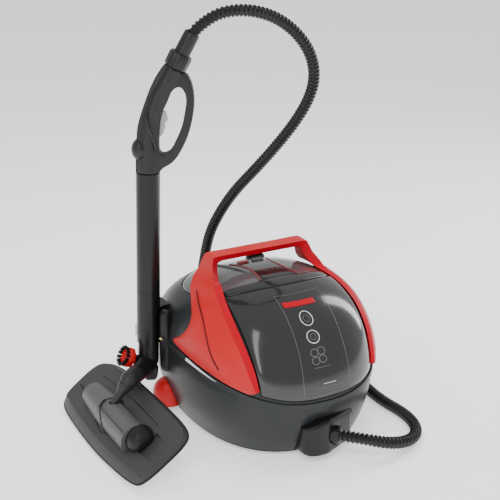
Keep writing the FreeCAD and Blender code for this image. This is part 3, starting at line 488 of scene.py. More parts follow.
def bow_half(side):
    """Verts of one half, row by row, each row a closed loop round the section."""
    rails = bow_rails()
    verts = []
    for i in range(BOW_ROWS + 1):
        inner, crease, rear, hidden = (rail[i] for rail in rails)
        settle = eased((i - ARM_ROWS) / SETTLE_ROWS)
        if settle:
            inner = inner.lerp(hug(inner, PANEL_EDGE_LIFT), settle)
            crease = crease.lerp(hug(crease, PANEL_LIFT), settle)
            rear = rear.lerp(hug(rear, PANEL_RIM_LIFT), settle)
            hidden = hidden.lerp(hug(rear, PANEL_BACK_LIFT), settle)
        row = [inner, inner.lerp(crease, 0.5), crease]
        for k in range(1, BOW_ACROSS):
            share = k / BOW_ACROSS
            flat = crease.lerp(rear, share)
            if settle:
                bulge = PANEL_BULGE * math.sin(math.pi * share)
                lift = PANEL_LIFT + (PANEL_RIM_LIFT - PANEL_LIFT) * share + bulge
                flat = flat.lerp(hug(flat, lift), settle)
            row.append(flat)
        row += [rear, hidden]
        for k in range(BOW_ACROSS - 1, 0, -1):
            flat = inner.lerp(hidden, k / BOW_ACROSS)
            if settle:
                flat = flat.lerp(hug(flat, PANEL_BACK_LIFT), settle)
            row.append(flat)
        verts += row
    loop = len(row)
    if side > 0:
        verts = [Vector((-v.x, v.y, v.z)) for v in verts]
    return verts, loop


def red_bow():
    left, loop = bow_half(-1)
    right, _ = bow_half(1)
    rows = len(left) // loop
    verts = []
    for i in range(rows - 1, 0, -1):
        verts += left[i * loop:(i + 1) * loop]
    verts += right
    count = len(verts) // loop
    faces = grid_faces(count, loop, closed=True)
    ends = [tuple(range(loop)), tuple(range(len(verts) - loop, len(verts)))]
    bow = new_piece("red_bow", verts, faces + ends, RED, "machine", sharp=24)
    # Painted shade: the bow's front faces, from the inner front edge to the outer front crease, take
    # the darker, less glossy copy of the red.
    bow.data.materials.append(CRIMSON_PRINT_AND_SHADED_RED)
    for face in bow.data.polygons[:len(faces)]:
        if face.index % loop < 2:
            face.material_index = 1
    soften(bow, 1.1, angle=24.0)
    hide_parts("carry_handle", "side_panel_left", "side_panel_right")


def raised_line(name, points, radius, material, body="machine"):
    """A thin round cord through points already on a surface: a print, a groove or a rim."""
    verts, faces = sweep(points, [radius] * len(points), 8)
    return new_piece(name, verts, faces, material, body, sharp=60)


GROOVE = [(118, -4, 232), (127, -34, 221), (133, -62, 208), (137, -84, 190), (139, -104, 168),
          (136, -124, 148)]
GROOVE_LIFT = 9.3
GROOVE_R = 0.9


def flash_grooves():
    """The thin dark lines on the red panels' sides."""
    for name, side in (("left", -1), ("right", 1)):
        spots = [(side * x, y, z) for x, y, z in GROOVE]
        line = [hug(p, GROOVE_LIFT) for p in through(spots, 40)]
        raised_line("flash_groove_" + name, line, GROOVE_R, BLACK)


# -------- smoked window
WINDOW_LIFT = 3.2
WINDOW_TOP_Z = 251.5
WINDOW_TOP_DROP = 14.5
WINDOW_FOOT_Z = 107.0
WINDOW_FOOT_RISE = 12.0
WINDOW_HALF_WIDTH = 101.5
WINDOW_BOW = 6.0
WINDOW_EDGE_DROP = 2.4
WINDOW_THICKNESS = 2.0


def window_spot(u, v):
    """x and z of the window's point: u from -1 to 1 across, v from 0 at the belt to 1 at the top."""
    top = WINDOW_TOP_Z - WINDOW_TOP_DROP * abs(u) ** 3
    foot = WINDOW_FOOT_Z + WINDOW_FOOT_RISE * abs(u) ** 3
    half = WINDOW_HALF_WIDTH + WINDOW_BOW * math.sin(math.pi * v) - v
    return u * half, foot + (top - foot) * math.sin(v * math.pi / 2)


def smoked_window():
    columns = 81
    rows = 61
    verts = []
    for j in range(rows):
        v = j / (rows - 1)
        for i in range(columns):
            u = -1 + 2 * i / (columns - 1)
            rim = max(abs(u), abs(2 * v - 1))
            lift = WINDOW_LIFT - WINDOW_EDGE_DROP * rim ** 30
            verts.append(front_point(*window_spot(u, v), lift))
    faces = grid_faces(rows, columns)
    pane = new_piece("smoked_pane", verts, faces, WINDOW, "machine", sharp=60)
    thick = pane.modifiers.new("thickness", "SOLIDIFY")
    thick.thickness = WINDOW_THICKNESS * MM
    thick.offset = -1.0
    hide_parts("front_window")


LINE_LIFT = 0.05
LINE_STEP = 3.0
PATCH_LIFT = 0.25
PATCH_THICKNESS = 0.2
RING_FLATTENING = 0.76


def print_point(x, z):
    return front_point(x, z, WINDOW_LIFT + LINE_LIFT)


def printed_line(name, spots, material=PRINT, radius=0.45):
    """A printed line on the window through spots given in x and z."""
    dense = []
    for (x0, z0), (x1, z1) in zip(spots[:-1], spots[1:]):
        steps = max(2, int(math.hypot(x1 - x0, z1 - z0) / LINE_STEP))
        for k in range(steps):
            dense.append(print_point(x0 + (x1 - x0) * k / steps, z0 + (z1 - z0) * k / steps))
    dense.append(print_point(*spots[-1]))
    return raised_line(name, dense, radius, material)


def printed_patch(name, x0, x1, z0, z1, material):
    """A printed block on the window."""
    columns = 13
    rows = 5
    verts = []
    for j in range(rows):
        for i in range(columns):
            x = x0 + (x1 - x0) * i / (columns - 1)
            z = z0 + (z1 - z0) * j / (rows - 1)
            verts.append(front_point(x, z, WINDOW_LIFT + PATCH_LIFT))
    patch = new_piece(name, verts, grid_faces(rows, columns), material, "machine")
    thick = patch.modifiers.new("thickness", "SOLIDIFY")
    thick.thickness = PATCH_THICKNESS * MM
    return patch


def ring_spots(x, z, radius, count=28):
    """A ring in x and z, flattened in z so that it looks round on the sloping window."""
    return [(x + radius * math.cos(2 * math.pi * k / count),
             z + RING_FLATTENING * radius * math.sin(2 * math.pi * k / count))
            for k in range(count + 1)]


def window_print():
    """Plain marks where the machine carries its printed lettering: a frame, a bar and icons."""
    frame_spots = [(-42, 116), (-38, 244.5), (41, 244.5), (41, 116), (-42, 116)]
    printed_line("print_frame", frame_spots)
    printed_patch("print_bar", -34, 22, 233.5, 238.5, CRIMSON_PRINT_AND_SHADED_RED)
    for k, (x, z) in enumerate(((-8, 220), (-9, 198))):
        printed_line("print_ring_%d" % (k + 1), ring_spots(x, z, 10.5), WHITE, 0.6)
        printed_line("print_dial_%d" % (k + 1), ring_spots(x, z, 5.0))
    leaves = ((-15, 178), (-3, 179), (-15, 167), (-3, 168))
    for k, (x, z) in enumerate(leaves):
        printed_line("print_leaf_%d" % (k + 1), ring_spots(x, z, 6.6), PRINT, 0.7)
    printed_line("print_rule_short", [(-20, 157), (8, 157)])
    printed_line("print_rule_upper", [(-8, 132), (14, 132)], WHITE)
    printed_line("print_rule_lower", [(-24, 126), (30, 126)])


SLIP_REAR_Y = -44.0
SLIP_LENGTH = 80.0
SLIP_R = 3.0
SLIP_TAPER = 2.2
SLIP_LIFT = 1.6
SLIP_STEPS = 30


def accent_strips():
    """The short pale slips under the red panels."""
    for name, side in (("left", -1), ("right", 1)):
        line = []
        sizes = []
        for k in range(SLIP_STEPS + 1):
            y = SLIP_REAR_Y - SLIP_LENGTH * k / SLIP_STEPS
            z = seam_z(y) + 0.5
            share = (abs(y - centre_y(z)) / half_length(z)) ** PLAN_POWER
            x = side * half_width(z) * (1 - share) ** (1 / PLAN_POWER)
            spot = Vector((x, y, z))
            line.append(spot + slope(spot).normalized() * SLIP_LIFT)
            sizes.append(SLIP_R - SLIP_TAPER * k / SLIP_STEPS)
        verts, faces = sweep(line, sizes, 10)
        slip = new_piece("pale_slip_" + name, verts, faces, WHITE, "machine", sharp=60)
        if side < 0:
            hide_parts("accent_strips")


# -------- crown
SKIN_EDGE_DROP = 0.8
SKIN_THICKNESS = 1.2
BAND_HALF_WIDTH = 96.0
BAND_REAR_Y = -66.0
BAND_REAR_CURVE = 26.0
SPINE_FRONT_Y = -64.0
SPINE_LENGTH = 106.0
SPINE_WAIST_Y = -12.0
SPINE_WAIST_HALF = 27.5
SPINE_FLARE = 6.5
SPINE_FLARE_LENGTH = 47.0
SPINE_EDGE_LENGTH = 104.0


def crown_patch(name, rows, columns, spot, lift, material):
    """A thin skin on top of the body; spot gives x and y for shares u and v from 0 to 1."""
    verts = []
    for j in range(rows):
        v = j / (rows - 1)
        for i in range(columns):
            u = i / (columns - 1)
            rim = max(abs(2 * u - 1), abs(2 * v - 1))
            x, y = spot(u, v)
            verts.append(crown_point(x, y, lift - SKIN_EDGE_DROP * rim ** 24))
    skin = new_piece(name, verts, grid_faces(rows, columns), material, "machine", sharp=60)
    thick = skin.modifiers.new("thickness", "SOLIDIFY")
    thick.thickness = SKIN_THICKNESS * MM
    thick.offset = -1.0
    return skin


def band_spot(u, v):
    """The black band between the window's top and the crown."""
    x = BAND_HALF_WIDTH * (2 * u - 1)
    share = abs(x) / WINDOW_HALF_WIDTH
    z = WINDOW_TOP_Z - WINDOW_TOP_DROP * share ** 3 + 0.2
    front = front_point(x, z, 0).y + 1.0
    back = BAND_REAR_Y + BAND_REAR_CURVE * share ** 3
    return x, front + (max(back, front + 3) - front) * v


def spine_half(y):
    """Half the width of the waisted panel along the crown."""
    share = (y - SPINE_WAIST_Y) / SPINE_FLARE_LENGTH
    return SPINE_WAIST_HALF + SPINE_FLARE * share * share


def spine_spot(u, v):
    y = SPINE_FRONT_Y + SPINE_LENGTH * v
    return (2 * u - 1) * spine_half(y), y


LENS_Y = 22.0
LENS_HALF_WIDTH = 122.0
LENS_HALF_LENGTH = 94.0
LENS_POWER = 0.8
LENS_LIFT = 0.7
LENS_THICKNESS = 0.6


def dome_spot(u, v):
    """The glossy oval over the rear and the crown's sides."""
    angle = 2 * math.pi * u
    c = math.cos(angle)
    d = math.sin(angle)
    x = LENS_HALF_WIDTH * math.copysign(abs(c) ** LENS_POWER, c) * v
    y = LENS_Y + LENS_HALF_LENGTH * math.copysign(abs(d) ** LENS_POWER, d) * v
    return x, y


def crown_spine():
    """The waisted dark panel along the crown, with its two red edges."""
    spine = crown_patch("crown_spine", 41, 25, spine_spot, 1.4, GLOSS_BLACK)
    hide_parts("control_panel")
    for name, side in (("left", -1), ("right", 1)):
        line = []
        for k in range(41):
            y = SPINE_FRONT_Y + 1.0 + SPINE_EDGE_LENGTH * k / 40
            line.append(crown_point(side * (spine_half(y) - 0.5), y, 1.2))
        raised_line("spine_edge_" + name, line, 1.5, DUSKY_RED)


def dome_lens():
    """The glossy oval skin, with a thin dark rim round it."""
    rim = []
    for k in range(121):
        x, y = dome_spot(0.25 + k / 120, 1.0)
        rim.append(crown_point(x, y, 0.4))
    raised_line("dome_rim", rim, 1.0, BLACK)
    verts = [crown_point(0, LENS_Y, LENS_LIFT)]
    turns = 96
    rings = 24
    for j in range(1, rings + 1):
        for i in range(turns):
            x, y = dome_spot(i / turns, j / rings)
            verts.append(crown_point(x, y, LENS_LIFT))
    faces = [(0, 1 + i, 1 + (i + 1) % turns) for i in range(turns)]
    for j in range(rings - 1):
        for i in range(turns):
            a = 1 + j * turns + i
            b = 1 + j * turns + (i + 1) % turns
            faces.append((a, b, b + turns, a + turns))
    lens = new_piece("dome_lens", verts, faces, DOME, "machine", sharp=60)
    thick = lens.modifiers.new("thickness", "SOLIDIFY")
    thick.thickness = LENS_THICKNESS * MM
    thick.offset = -1.0


def crown():
    band = crown_patch("black_band", 9, 65, band_spot, 2.4, GLOSS_BLACK)
    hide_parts("trim_band")
    crown_spine()
    dome_lens()


# -------- smoothed CAD pieces
# Each moulding's voxel size in millimetres and how many times its surface is smoothed.
MELTED = {"gun_shell_left": (1.3, 14), "gun_shell_right": (1.3, 14), "socket_housing": (1.8, 40)}


def melt_cad():
    """Melts each moulding's plain CAD edges into one smooth, rounded form."""
    for name, (voxel, passes) in MELTED.items():
        shell = NODES[name]
        melt = shell.modifiers.new("melt", "REMESH")
        melt.mode = "VOXEL"
        melt.voxel_size = voxel * MM
        melt.use_smooth_shade = True
        relax = shell.modifiers.new("relax", "SMOOTH")
        relax.factor = 0.6
        relax.iterations = passes


# The rounding of each moulded CAD piece's edges, in millimetres.
SOFTENED = {"hump_cover": 1.2, "hump_tail": 1.2, "wand_dock": 0.8, "steam_trigger": 0.8,
            "tube_latch": 0.6, "lower_housing": 1.2, "castor_hood_rear_left": 1.2,
            "castor_hood_rear_right": 1.2, "power_switch": 0.8, "boiler_switch": 0.8,
            "filler_cap": 1.0, "hose_plug": 0.8}


def soften_cad():
    """Small rounded edges on the moulded CAD pieces."""
    for name, width in SOFTENED.items():
        soften(NODES[name], width, segments=2, angle=45.0)


# -------- wand and gun pieces
TUBE_X = 2.0
ELBOW_CENTRE = Vector((TUBE_X, 0.0, 4.0))
KNEE = WAND.inverted() @ Vector((-245.0, -1.0, 101.0))
PEG_AXIS = Vector((-0.80, -0.40, 0.45)).normalized()
PEG_REACH = 34.0
HUMP_X = -8.0
HUMP_Z = 8.0
PIN_REACH = 21.0
PIN_Y = 8.0
PIN_ANGLE = math.radians(32.0)
PIN = WAND.inverted() @ BRUSH @ Vector((HUMP_X + PIN_REACH * math.sin(PIN_ANGLE), PIN_Y,
                                        HUMP_Z + PIN_REACH * math.cos(PIN_ANGLE)))


def lathe(name, start, axis, profile, material, body, turns=48, lobes=0, lobe_depth=0.0):
    """A turned piece in the wand's frame; profile gives radius and distance along the axis."""
    axis = axis.normalized()
    side = axis.cross(Vector((0, 0, 1))).normalized()
    other = axis.cross(side)
    verts = []
    for radius, along in profile:
        for k in range(turns):
            angle = 2 * math.pi * k / turns
            r = radius * (1 + lobe_depth * math.cos(lobes * angle))
            spot = start + axis * along + (side * math.cos(angle) + other * math.sin(angle)) * r
            verts.append(WAND @ spot)
    faces = grid_faces(len(profile), turns, closed=True)
    faces.append(tuple(range(turns)))
    faces.append(tuple(range(len(verts) - turns, len(verts))))
    return new_piece(name, verts, faces, material, body, sharp=38)


def wand_sweep(name, spots, radii, material, body, count=40):
    """A round piece along a smooth line in the wand's frame."""
    line = through(spots, count)
    spans = len(spots) - 1
    sizes = []
    for i in range(count + 1):
        t = i / count * spans
        k = min(int(t), spans - 1)
        sizes.append(radii[k] + (radii[k + 1] - radii[k]) * eased(t - k))
    verts, faces = sweep([WAND @ p for p in line], sizes, 40)
    return new_piece(name, verts, faces, material, body, sharp=50)


ELBOW_RADII = [17.2, 17.4, 17.6, 15.8, 14.4]
CONE_RADII = [15.4, 14.8, 12.6, 7.2, 4.6]
NECK_RING = [(12.2, 0), (13.6, 0.4), (13.6, 2.2), (12.2, 2.6)]
PEG_SLEEVE = [(9.0, 0), (9.0, 14), (8.0, 24), (8.0, 25.4)]


def elbow():
    """The black elbow under the tube and the grey cone down to the floor brush."""
    axis = (PIN - KNEE).normalized()
    reach = (PIN - KNEE).length
    black = wand_sweep("elbow_core", [Vector((TUBE_X, 0, 53)), Vector((TUBE_X, 0, 30)),
                                      Vector((TUBE_X - 1, -3, 10)), ELBOW_CENTRE.lerp(KNEE, 0.32),
                                      ELBOW_CENTRE.lerp(KNEE, 0.78)],
                       ELBOW_RADII, BLACK, "wand")
    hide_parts("elbow_body")
    wand_sweep("neck_cone", [ELBOW_CENTRE.lerp(KNEE, 0.70), KNEE + Vector((1, 3, 0)),
                             KNEE + axis * 9, KNEE + axis * (reach - 16), KNEE + axis * (reach + 3)],
               CONE_RADII, DARK_GREY, "wand")
    lathe("neck_ring", KNEE + axis * 8, axis, NECK_RING, DARK_GREY, "wand")
    lathe("peg_sleeve", ELBOW_CENTRE + PEG_AXIS * 8, PEG_AXIS, PEG_SLEEVE, BLACK, "wand")


# Heights and sizes of the dock column's rings, how wide and deep a ring is for its size, and
# where the column stands on the machine's side.
DOCK_RINGS = [(82, 4), (85, 8.4), (92, 10.2), (150, 10.6), (186, 9.6), (191, 7), (192, 3)]
DOCK_WIDTH = 0.95
DOCK_DEPTH = 1.15
DOCK_X = -160.0
DOCK_Y = 38.0
DOCK_DOT = Vector((-171.5, 31, 146))


def dock_column():
    """The rounded black upright on the machine's side, beside the parked tube."""
    verts = []
    turns = 32
    for z, size in DOCK_RINGS:
        for k in range(turns):
            angle = 2 * math.pi * k / turns
            verts.append(Vector((DOCK_X + DOCK_WIDTH * size * math.cos(angle),
                                 DOCK_Y + DOCK_DEPTH * size * math.sin(angle), z)))
    last = len(DOCK_RINGS) - 1
    faces = grid_faces(last + 1, turns, closed=True)
    faces += [tuple(range(turns)), tuple(range(last * turns, (last + 1) * turns))]
    new_piece("dock_column", verts, faces, BLACK, "machine", sharp=50)
    outward = WAND.inverted().to_3x3() @ Vector((-0.6, -0.8, 0))
    lathe("dock_dot", WAND.inverted() @ DOCK_DOT, outward,
          [(0.5, 0), (2.6, 0.2), (2.6, 1.6), (0.5, 2.2)], BRASS, "machine", turns=20)


HUB_PROFILE = [(5, 0), (14.2, 0), (16.2, 1.6), (16.8, 6), (16.4, 11), (14.8, 13.6), (9.8, 14.6),
               (8.6, 11.8), (7.6, 11.8), (7.0, 14.4), (5.2, 14.8), (4.4, 12.0), (0.5, 11.8)]
TUFTS = 14
HAIRS = 5
HAIR_SPREAD = 1.6
HAIR_SPLAY = 1.3
HAIR_RADII = [1.2, 1.2, 0.8]
# Each hair's root and tip, along the brush's axis and out from it.
ROOT_ALONG = 12.0
ROOT_OUT = 13.6
TIP_ALONG = 20.0
TIP_OUT = 15.6


def tuft_hairs(start, out):
    """Root and tip of each hair of one tuft; out points from the brush's axis to the tuft."""
    hairs = []
    for hair in range(HAIRS):
        turn = 2 * math.pi * hair / HAIRS
        shift = (out * math.cos(turn) + PEG_AXIS.cross(out) * math.sin(turn)) * HAIR_SPREAD
        root = start + PEG_AXIS * ROOT_ALONG + out * ROOT_OUT + shift
        tip = start + PEG_AXIS * TIP_ALONG + out * TIP_OUT + shift * HAIR_SPLAY
        hairs.append((root, tip))
    return hairs


def round_brush():
    """The small brush stored on the elbow's peg: a lobed red hub and a ring of tufts."""
    start = ELBOW_CENTRE + PEG_AXIS * PEG_REACH
    hub = lathe("round_brush_hub", start, PEG_AXIS, HUB_PROFILE, RED, "bristle_brush", turns=64,
                lobes=8, lobe_depth=0.045)
    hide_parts("round_brush")
    side = PEG_AXIS.cross(Vector((0, 0, 1))).normalized()
    other = PEG_AXIS.cross(side)
    verts = []
    faces = []
    for i in range(TUFTS):
        angle = 2 * math.pi * i / TUFTS
        out = side * math.cos(angle) + other * math.sin(angle)
        for root, tip in tuft_hairs(start, out):
            more, rings = sweep([WAND @ root, WAND @ root.lerp(tip, 0.5), WAND @ tip],
                                HAIR_RADII, 6)
            base = len(verts)
            verts += more
            faces += [tuple(base + k for k in face) for face in rings]
    ring = new_piece("round_brush_tufts", verts, faces, BRISTLE, "bristle_brush", sharp=60)
    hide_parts("round_brush_bristles")


LEVER_OUTLINE = [(7, 3), (15, 4), (19, -5), (18, -17), (14, -24), (0, -25), (-5, -20), (-3, -14),
                 (5, -12)]
LEVER_HALF_WIDTH = 7.5


def wand_prism(name, outline, half, material, body, round_off):
    """A flat piece across the wand's frame: outline in x and z, half its thickness in y."""
    verts = [WAND @ Vector((x, -half, z)) for x, z in outline]
    verts += [WAND @ Vector((x, half, z)) for x, z in outline]
    count = len(outline)
    faces = [tuple(range(count)), tuple(range(count, 2 * count))]
    faces += [(k, (k + 1) % count, count + (k + 1) % count, count + k) for k in range(count)]
    piece = new_piece(name, verts, faces, material, body, sharp=30)
    return soften(piece, round_off)


def release_lever():
    lever = wand_prism("lever_paddle", LEVER_OUTLINE, LEVER_HALF_WIDTH, BLACK, "lever", 1.6)
    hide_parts("release_lever")


CUFF_PROFILE = [(9.0, 24), (12.6, 24), (12.9, 30), (12.5, 57), (11.9, 60.5), (10.6, 60.6),
                (10.5, 40), (9.0, 39)]
COLLAR_PROFILE = [(13.4, 0.3), (16.0, 0.3), (17.9, 2.0), (18.3, 20.5), (16.6, 24.4), (13.4, 25.2)]


def hose_end():
    """The tapered cuff on the hose and the lobed nut that holds it on the gun's neck."""
    cuff = lathe("cuff_sleeve", NECK_END, NECK_DIR, CUFF_PROFILE, GUN_GREY, "wand")
    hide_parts("hose_cuff")
    collar = lathe("collar_nut", NECK_END, NECK_DIR, COLLAR_PROFILE, GUN_GREY, "collar", turns=96,
                   lobes=8, lobe_depth=0.028)
    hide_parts("hose_collar")


BUTTON_CENTRE = Vector((-9.6, -2.5, 381.0))
BUTTON_HALF = Vector((14.6, 18.0, 18.5))
BUTTON_RINGS = 12


def dome_button():
    """The domed lock button at the foot of the grip."""
    verts = []
    turns = 40
    for j in range(BUTTON_RINGS + 1):
        ring = math.sin(math.pi * j / BUTTON_RINGS)
        height = math.cos(math.pi * j / BUTTON_RINGS)
        for k in range(turns):
            angle = 2 * math.pi * k / turns
            spot = Vector((BUTTON_HALF.x * ring * math.cos(angle),
                           BUTTON_HALF.y * ring * math.sin(angle), BUTTON_HALF.z * height))
            verts.append(WAND @ (BUTTON_CENTRE + spot))
    faces = grid_faces(BUTTON_RINGS + 1, turns, closed=True)
    button = new_piece("dome_button", verts, faces, GUN_GREY, "lock", sharp=60)
    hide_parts("lock_button")


RIDGE = [(1, -16.7, 446), (3, -17.3, 430), (8, -17.6, 412), (14, -15.8, 392), (15.5, -14.4, 378)]
RIDGE_RADII = [0.5, 2.2, 2.6, 2.2, 0.5]
SEAM_HEIGHTS = {"seam_upper": 139.0, "seam_gun": 343.0}
SEAM_PROFILE = [(19.0, 0), (19.75, 0.1), (19.75, 1.3), (19.0, 1.4)]


def gun_fittings():
    hose_end()
    dome_button()
    for name, side in (("left", 1), ("right", -1)):
        ridge = [Vector((x, side * y, z)) for x, y, z in RIDGE]
        wand_sweep("grip_ridge_" + name, ridge, RIDGE_RADII, GUN_GREY, "wand")
    for name, height in SEAM_HEIGHTS.items():
        lathe(name, Vector((TUBE_X, 0, height - 0.7)), Vector((0, 0, 1)), SEAM_PROFILE, BLACK,
              "wand")


# -------- floor brush pieces
PLATE_OUTLINE = [(-62, 136), (-45, 160), (26, 167), (48, 148), (59, 91), (62, -96), (58, -150),
                 (40, -166), (-42, -169), (-57, -152), (-68, -21)]
PLATE_TOP = 8.0


def rounded(outline, times=4, cut=0.22):
    """The outline with its corners cut again and again into curves."""
    points = [Vector((x, y)) for x, y in outline]
    for _ in range(times):
        finer = []
        for a, b in zip(points, points[1:] + points[:1]):
            finer += [a.lerp(b, cut), a.lerp(b, 1 - cut)]
        points = finer
    return points


def inset(points, amount, extra=0.0):
    """The outline moved inwards; extra adds to it along the low long side."""
    moved = []
    for before, point, after in zip(points[-1:] + points[:-1], points, points[1:] + points[:1]):
        along = (after - before).normalized()
        normal = Vector((along.y, -along.x))
        if normal.dot(point) < 0:
            normal = -normal
        depth = amount + extra * max(0.0, -normal.x) ** 3
        moved.append(point - normal * depth)
    return moved


def brush_layers(name, layers, material, sharp=35.0):
    """A closed slab from outline layers, each a list of points and a height."""
    verts = []
    count = len(layers[0][0])
    for points, height in layers:
        verts += [BRUSH @ Vector((p.x, p.y, height)) for p in points]
    faces = grid_faces(len(layers), count, closed=True)
    faces.append(tuple(range(count)))
    faces.append(tuple(range(len(verts) - count, len(verts))))
    return new_piece(name, verts, faces, material, "floor_brush", sharp=sharp)


def brush_line(name, spots, radius, height=PLATE_TOP):
    line = [BRUSH @ Vector((p.x, p.y, height)) for p in through([(x, y, 0) for x, y in spots], 30)]
    return raised_line(name, line, radius, BLACK, "floor_brush")


def bake(piece):
    """Settles a piece's modifiers into its mesh."""
    view = bpy.context.evaluated_depsgraph_get()
    settled = bpy.data.meshes.new_from_object(piece.evaluated_get(view))
    old = piece.data
    piece.modifiers.clear()
    piece.data = settled
    bpy.data.meshes.remove(old)


# The pocket in the plate: two rectangles in x and y, each with its upper and lower height.
POCKET_CORNERS = [(-19, -104, 12), (23, -104, 12), (23, -104, 3.2), (-19, -104, 3.2),
                  (-15, -150, 12), (20, -150, 12), (20, -150, 8.0), (-15, -150, 8.0)]
POCKET_FACES = [(0, 1, 2, 3), (4, 5, 6, 7), (0, 1, 5, 4), (1, 2, 6, 5), (2, 3, 7, 6), (3, 0, 4, 7)]


def brush_shell(edge):
    """The plate's grey upper shell, with its pocket."""
    top = inset(edge, 3.5, extra=11.0)
    plate = brush_layers("brush_shell", [(inset(edge, 3), 0.2), (edge, 0.4), (edge, 1.4),
                                         (inset(edge, 0.6), 2.0), (top, PLATE_TOP)],
                         PLATE_GREY, sharp=22)
    pocket = new_piece("pocket_cutter", [BRUSH @ Vector(p) for p in POCKET_CORNERS], POCKET_FACES,
                       PLATE_GREY, None)
    cut = plate.modifiers.new("pocket", "BOOLEAN")
    cut.operation = "DIFFERENCE"
    cut.solver = "EXACT"
    cut.object = pocket
    bake(plate)
    bpy.data.objects.remove(pocket)
    soften(plate, 0.8, segments=2)
    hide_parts("brush_plate")


def brush_gasket(edge):
    """The black rim that holds the cloth round the plate."""
    gasket = brush_layers("brush_gasket", [(inset(edge, 6), -1.7), (inset(edge, -1.8), -1.4),
                                           (inset(edge, -2.4), 0.4), (inset(edge, -1.2), 1.6),
                                           (inset(edge, 3), 1.8)], BLACK)
    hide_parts("cloth_frame")


def brush_grooves():
    """The thin dark lines on top of the plate."""
    brush_line("hump_outline", [(-17, 118), (-26, 70), (-41, 4), (-37, -14), (-26, -84),
                                (-23, -97), (18, -99)], 0.8)
    brush_line("plate_slit", [(-15, 145), (-17, 118)], 2.4)
    brush_line("plate_line", [(24, 120), (30, 60), (33, -20), (32, -90)], 0.7)


# Places along y and radii of the hump's dark end, and its reach round the hump in degrees.
DARK_END = [(-84.0, 24.0), (-96.0, 23.0), (-104.0, 20.0), (-109.0, 15.0), (-111.0, 9.0)]
DARK_END_START = -20
DARK_END_SPAN = 205


def hump_dark_end():
    """The black rounded end of the hump."""
    verts = []
    turns = 24
    for y, radius in DARK_END:
        for k in range(turns + 1):
            angle = math.radians(DARK_END_START) + math.radians(DARK_END_SPAN) * k / turns
            spot = Vector((HUMP_X + 5 + radius * math.cos(angle), y,
                           max(PLATE_TOP - 1.0, HUMP_Z + radius * math.sin(angle))))
            verts.append(BRUSH @ spot)
    faces = grid_faces(len(DARK_END), turns + 1)
    faces.append(tuple(range(turns + 1)))
    faces.append(tuple(range(len(verts) - turns - 1, len(verts))))
    new_piece("hump_dark_end", verts, faces, BLACK, "floor_brush", sharp=40)


SPLIT_R = 27.1
SPLIT_START = 76
SPLIT_SPAN = 100
SPLIT_START_Y = 22
SPLIT_RUN = 34
SPLIT_STEPS = 24


def hump_split():
    """The curved dark gap between the hump's cover and its tail."""
    line = []
    for k in range(SPLIT_STEPS + 1):
        angle = math.radians(SPLIT_START + SPLIT_SPAN * k / SPLIT_STEPS)
        spot = Vector((HUMP_X + SPLIT_R * math.cos(angle),
                       SPLIT_START_Y - SPLIT_RUN * eased(k / SPLIT_STEPS),
                       HUMP_Z + SPLIT_R * math.sin(angle)))
        line.append(BRUSH @ spot)
    raised_line("hump_split", line, 1.1, BLACK, "floor_brush")


def floor_brush():
    edge = rounded(PLATE_OUTLINE)
    brush_shell(edge)
    brush_gasket(edge)
    brush_grooves()
    hump_dark_end()
    hump_split()


def cloth_pad():
    """The quilted microfibre pad under the plate."""
    edge = rounded(PLATE_OUTLINE)
    layers = [(inset(edge, 9), -5.0), (inset(edge, 4.5), -4.6), (inset(edge, 2.6), -3.4),
              (inset(edge, 3.0), -2.4), (inset(edge, 5), -1.9)]
    pad = brush_layers("microfibre_pad", layers, CLOTH, sharp=60)
    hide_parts("cloth_pad")


# -------- stage, lights and camera
FLOOR_HALF = 12.0


def floor():
    mesh = bpy.data.meshes.new("floor")
    mesh.from_pydata([(-FLOOR_HALF, -FLOOR_HALF, 0), (FLOOR_HALF, -FLOOR_HALF, 0),
                      (FLOOR_HALF, FLOOR_HALF, 0), (-FLOOR_HALF, FLOOR_HALF, 0)],
                     [], [(0, 1, 2, 3)])
    plane = bpy.data.objects.new("floor", mesh)
    bpy.context.scene.collection.objects.link(plane)
    material = bpy.data.materials.new("floor_paper")
    material.use_nodes = True
    shader = material.node_tree.nodes["Principled BSDF"]
    shader.inputs["Base Color"].default_value = (0.93, 0.93, 0.93, 1)
    shader.inputs["Emission Color"].default_value = (1, 1, 1, 1)
    shader.inputs["Emission Strength"].default_value = 0.6
    shader.inputs["Roughness"].default_value = 0.9
    mesh.materials.append(material)


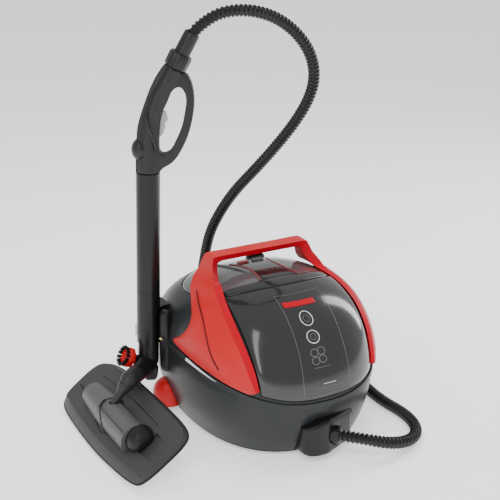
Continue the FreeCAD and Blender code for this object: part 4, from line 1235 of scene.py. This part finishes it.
def area_light(name, spot, target, size, power, size_y=None, mirrored=True):
    data = bpy.data.lights.new(name, "AREA")
    data.energy = power
    data.size = size
    if size_y:
        data.shape = "RECTANGLE"
        data.size_y = size_y
    lamp = bpy.data.objects.new(name, data)
    bpy.context.scene.collection.objects.link(lamp)
    lamp.visible_glossy = mirrored
    lamp.location = spot
    lamp.rotation_euler = (Vector(target) - Vector(spot)).to_track_quat("-Z", "Y").to_euler()


CAMERA_TURN = math.radians(-29.0)
CAMERA_RISE = math.radians(20.0)
CAMERA_DISTANCE = 1.867
CAMERA_LENS = 80.7
CAMERA_SENSOR = 36.0
CAMERA_TARGET = place((-18.6, 0.0, 286.5))


def camera():
    data = bpy.data.cameras.new("camera")
    data.lens = CAMERA_LENS
    data.sensor_width = CAMERA_SENSOR
    spot = bpy.data.objects.new("camera", data)
    bpy.context.scene.collection.objects.link(spot)
    offset = Vector((math.sin(CAMERA_TURN) * math.cos(CAMERA_RISE),
                     -math.cos(CAMERA_TURN) * math.cos(CAMERA_RISE), math.sin(CAMERA_RISE)))
    spot.location = CAMERA_TARGET + offset * CAMERA_DISTANCE
    spot.rotation_euler = (-offset).to_track_quat("-Z", "Y").to_euler()
    bpy.context.scene.camera = spot


def studio():
    world = bpy.data.worlds.new("studio")
    world.use_nodes = True
    background = world.node_tree.nodes["Background"]
    background.inputs["Color"].default_value = (1, 1, 1, 1)
    background.inputs["Strength"].default_value = 0.7
    bpy.context.scene.world = world
    centre = (0.05, 0.0, 0.2)
    area_light("key", (-0.9, -1.7, 2.3), centre, 1.6, 40.0, mirrored=False)
    area_light("left_strip", (-1.5, -1.05, 1.3), centre, 0.34, 12.0, size_y=2.2)
    area_light("right_strip", (1.85, 0.25, 1.0), centre, 0.36, 16.0, size_y=1.7)
    area_light("top", (0.1, 0.6, 2.0), centre, 1.2, 24.0, mirrored=False)


red_bow()
flash_grooves()
smoked_window()
window_print()
accent_strips()
crown()
melt_cad()
soften_cad()
elbow()
dock_column()
round_brush()
release_lever()
gun_fittings()
floor_brush()
cloth_pad()
floor()
studio()
camera()
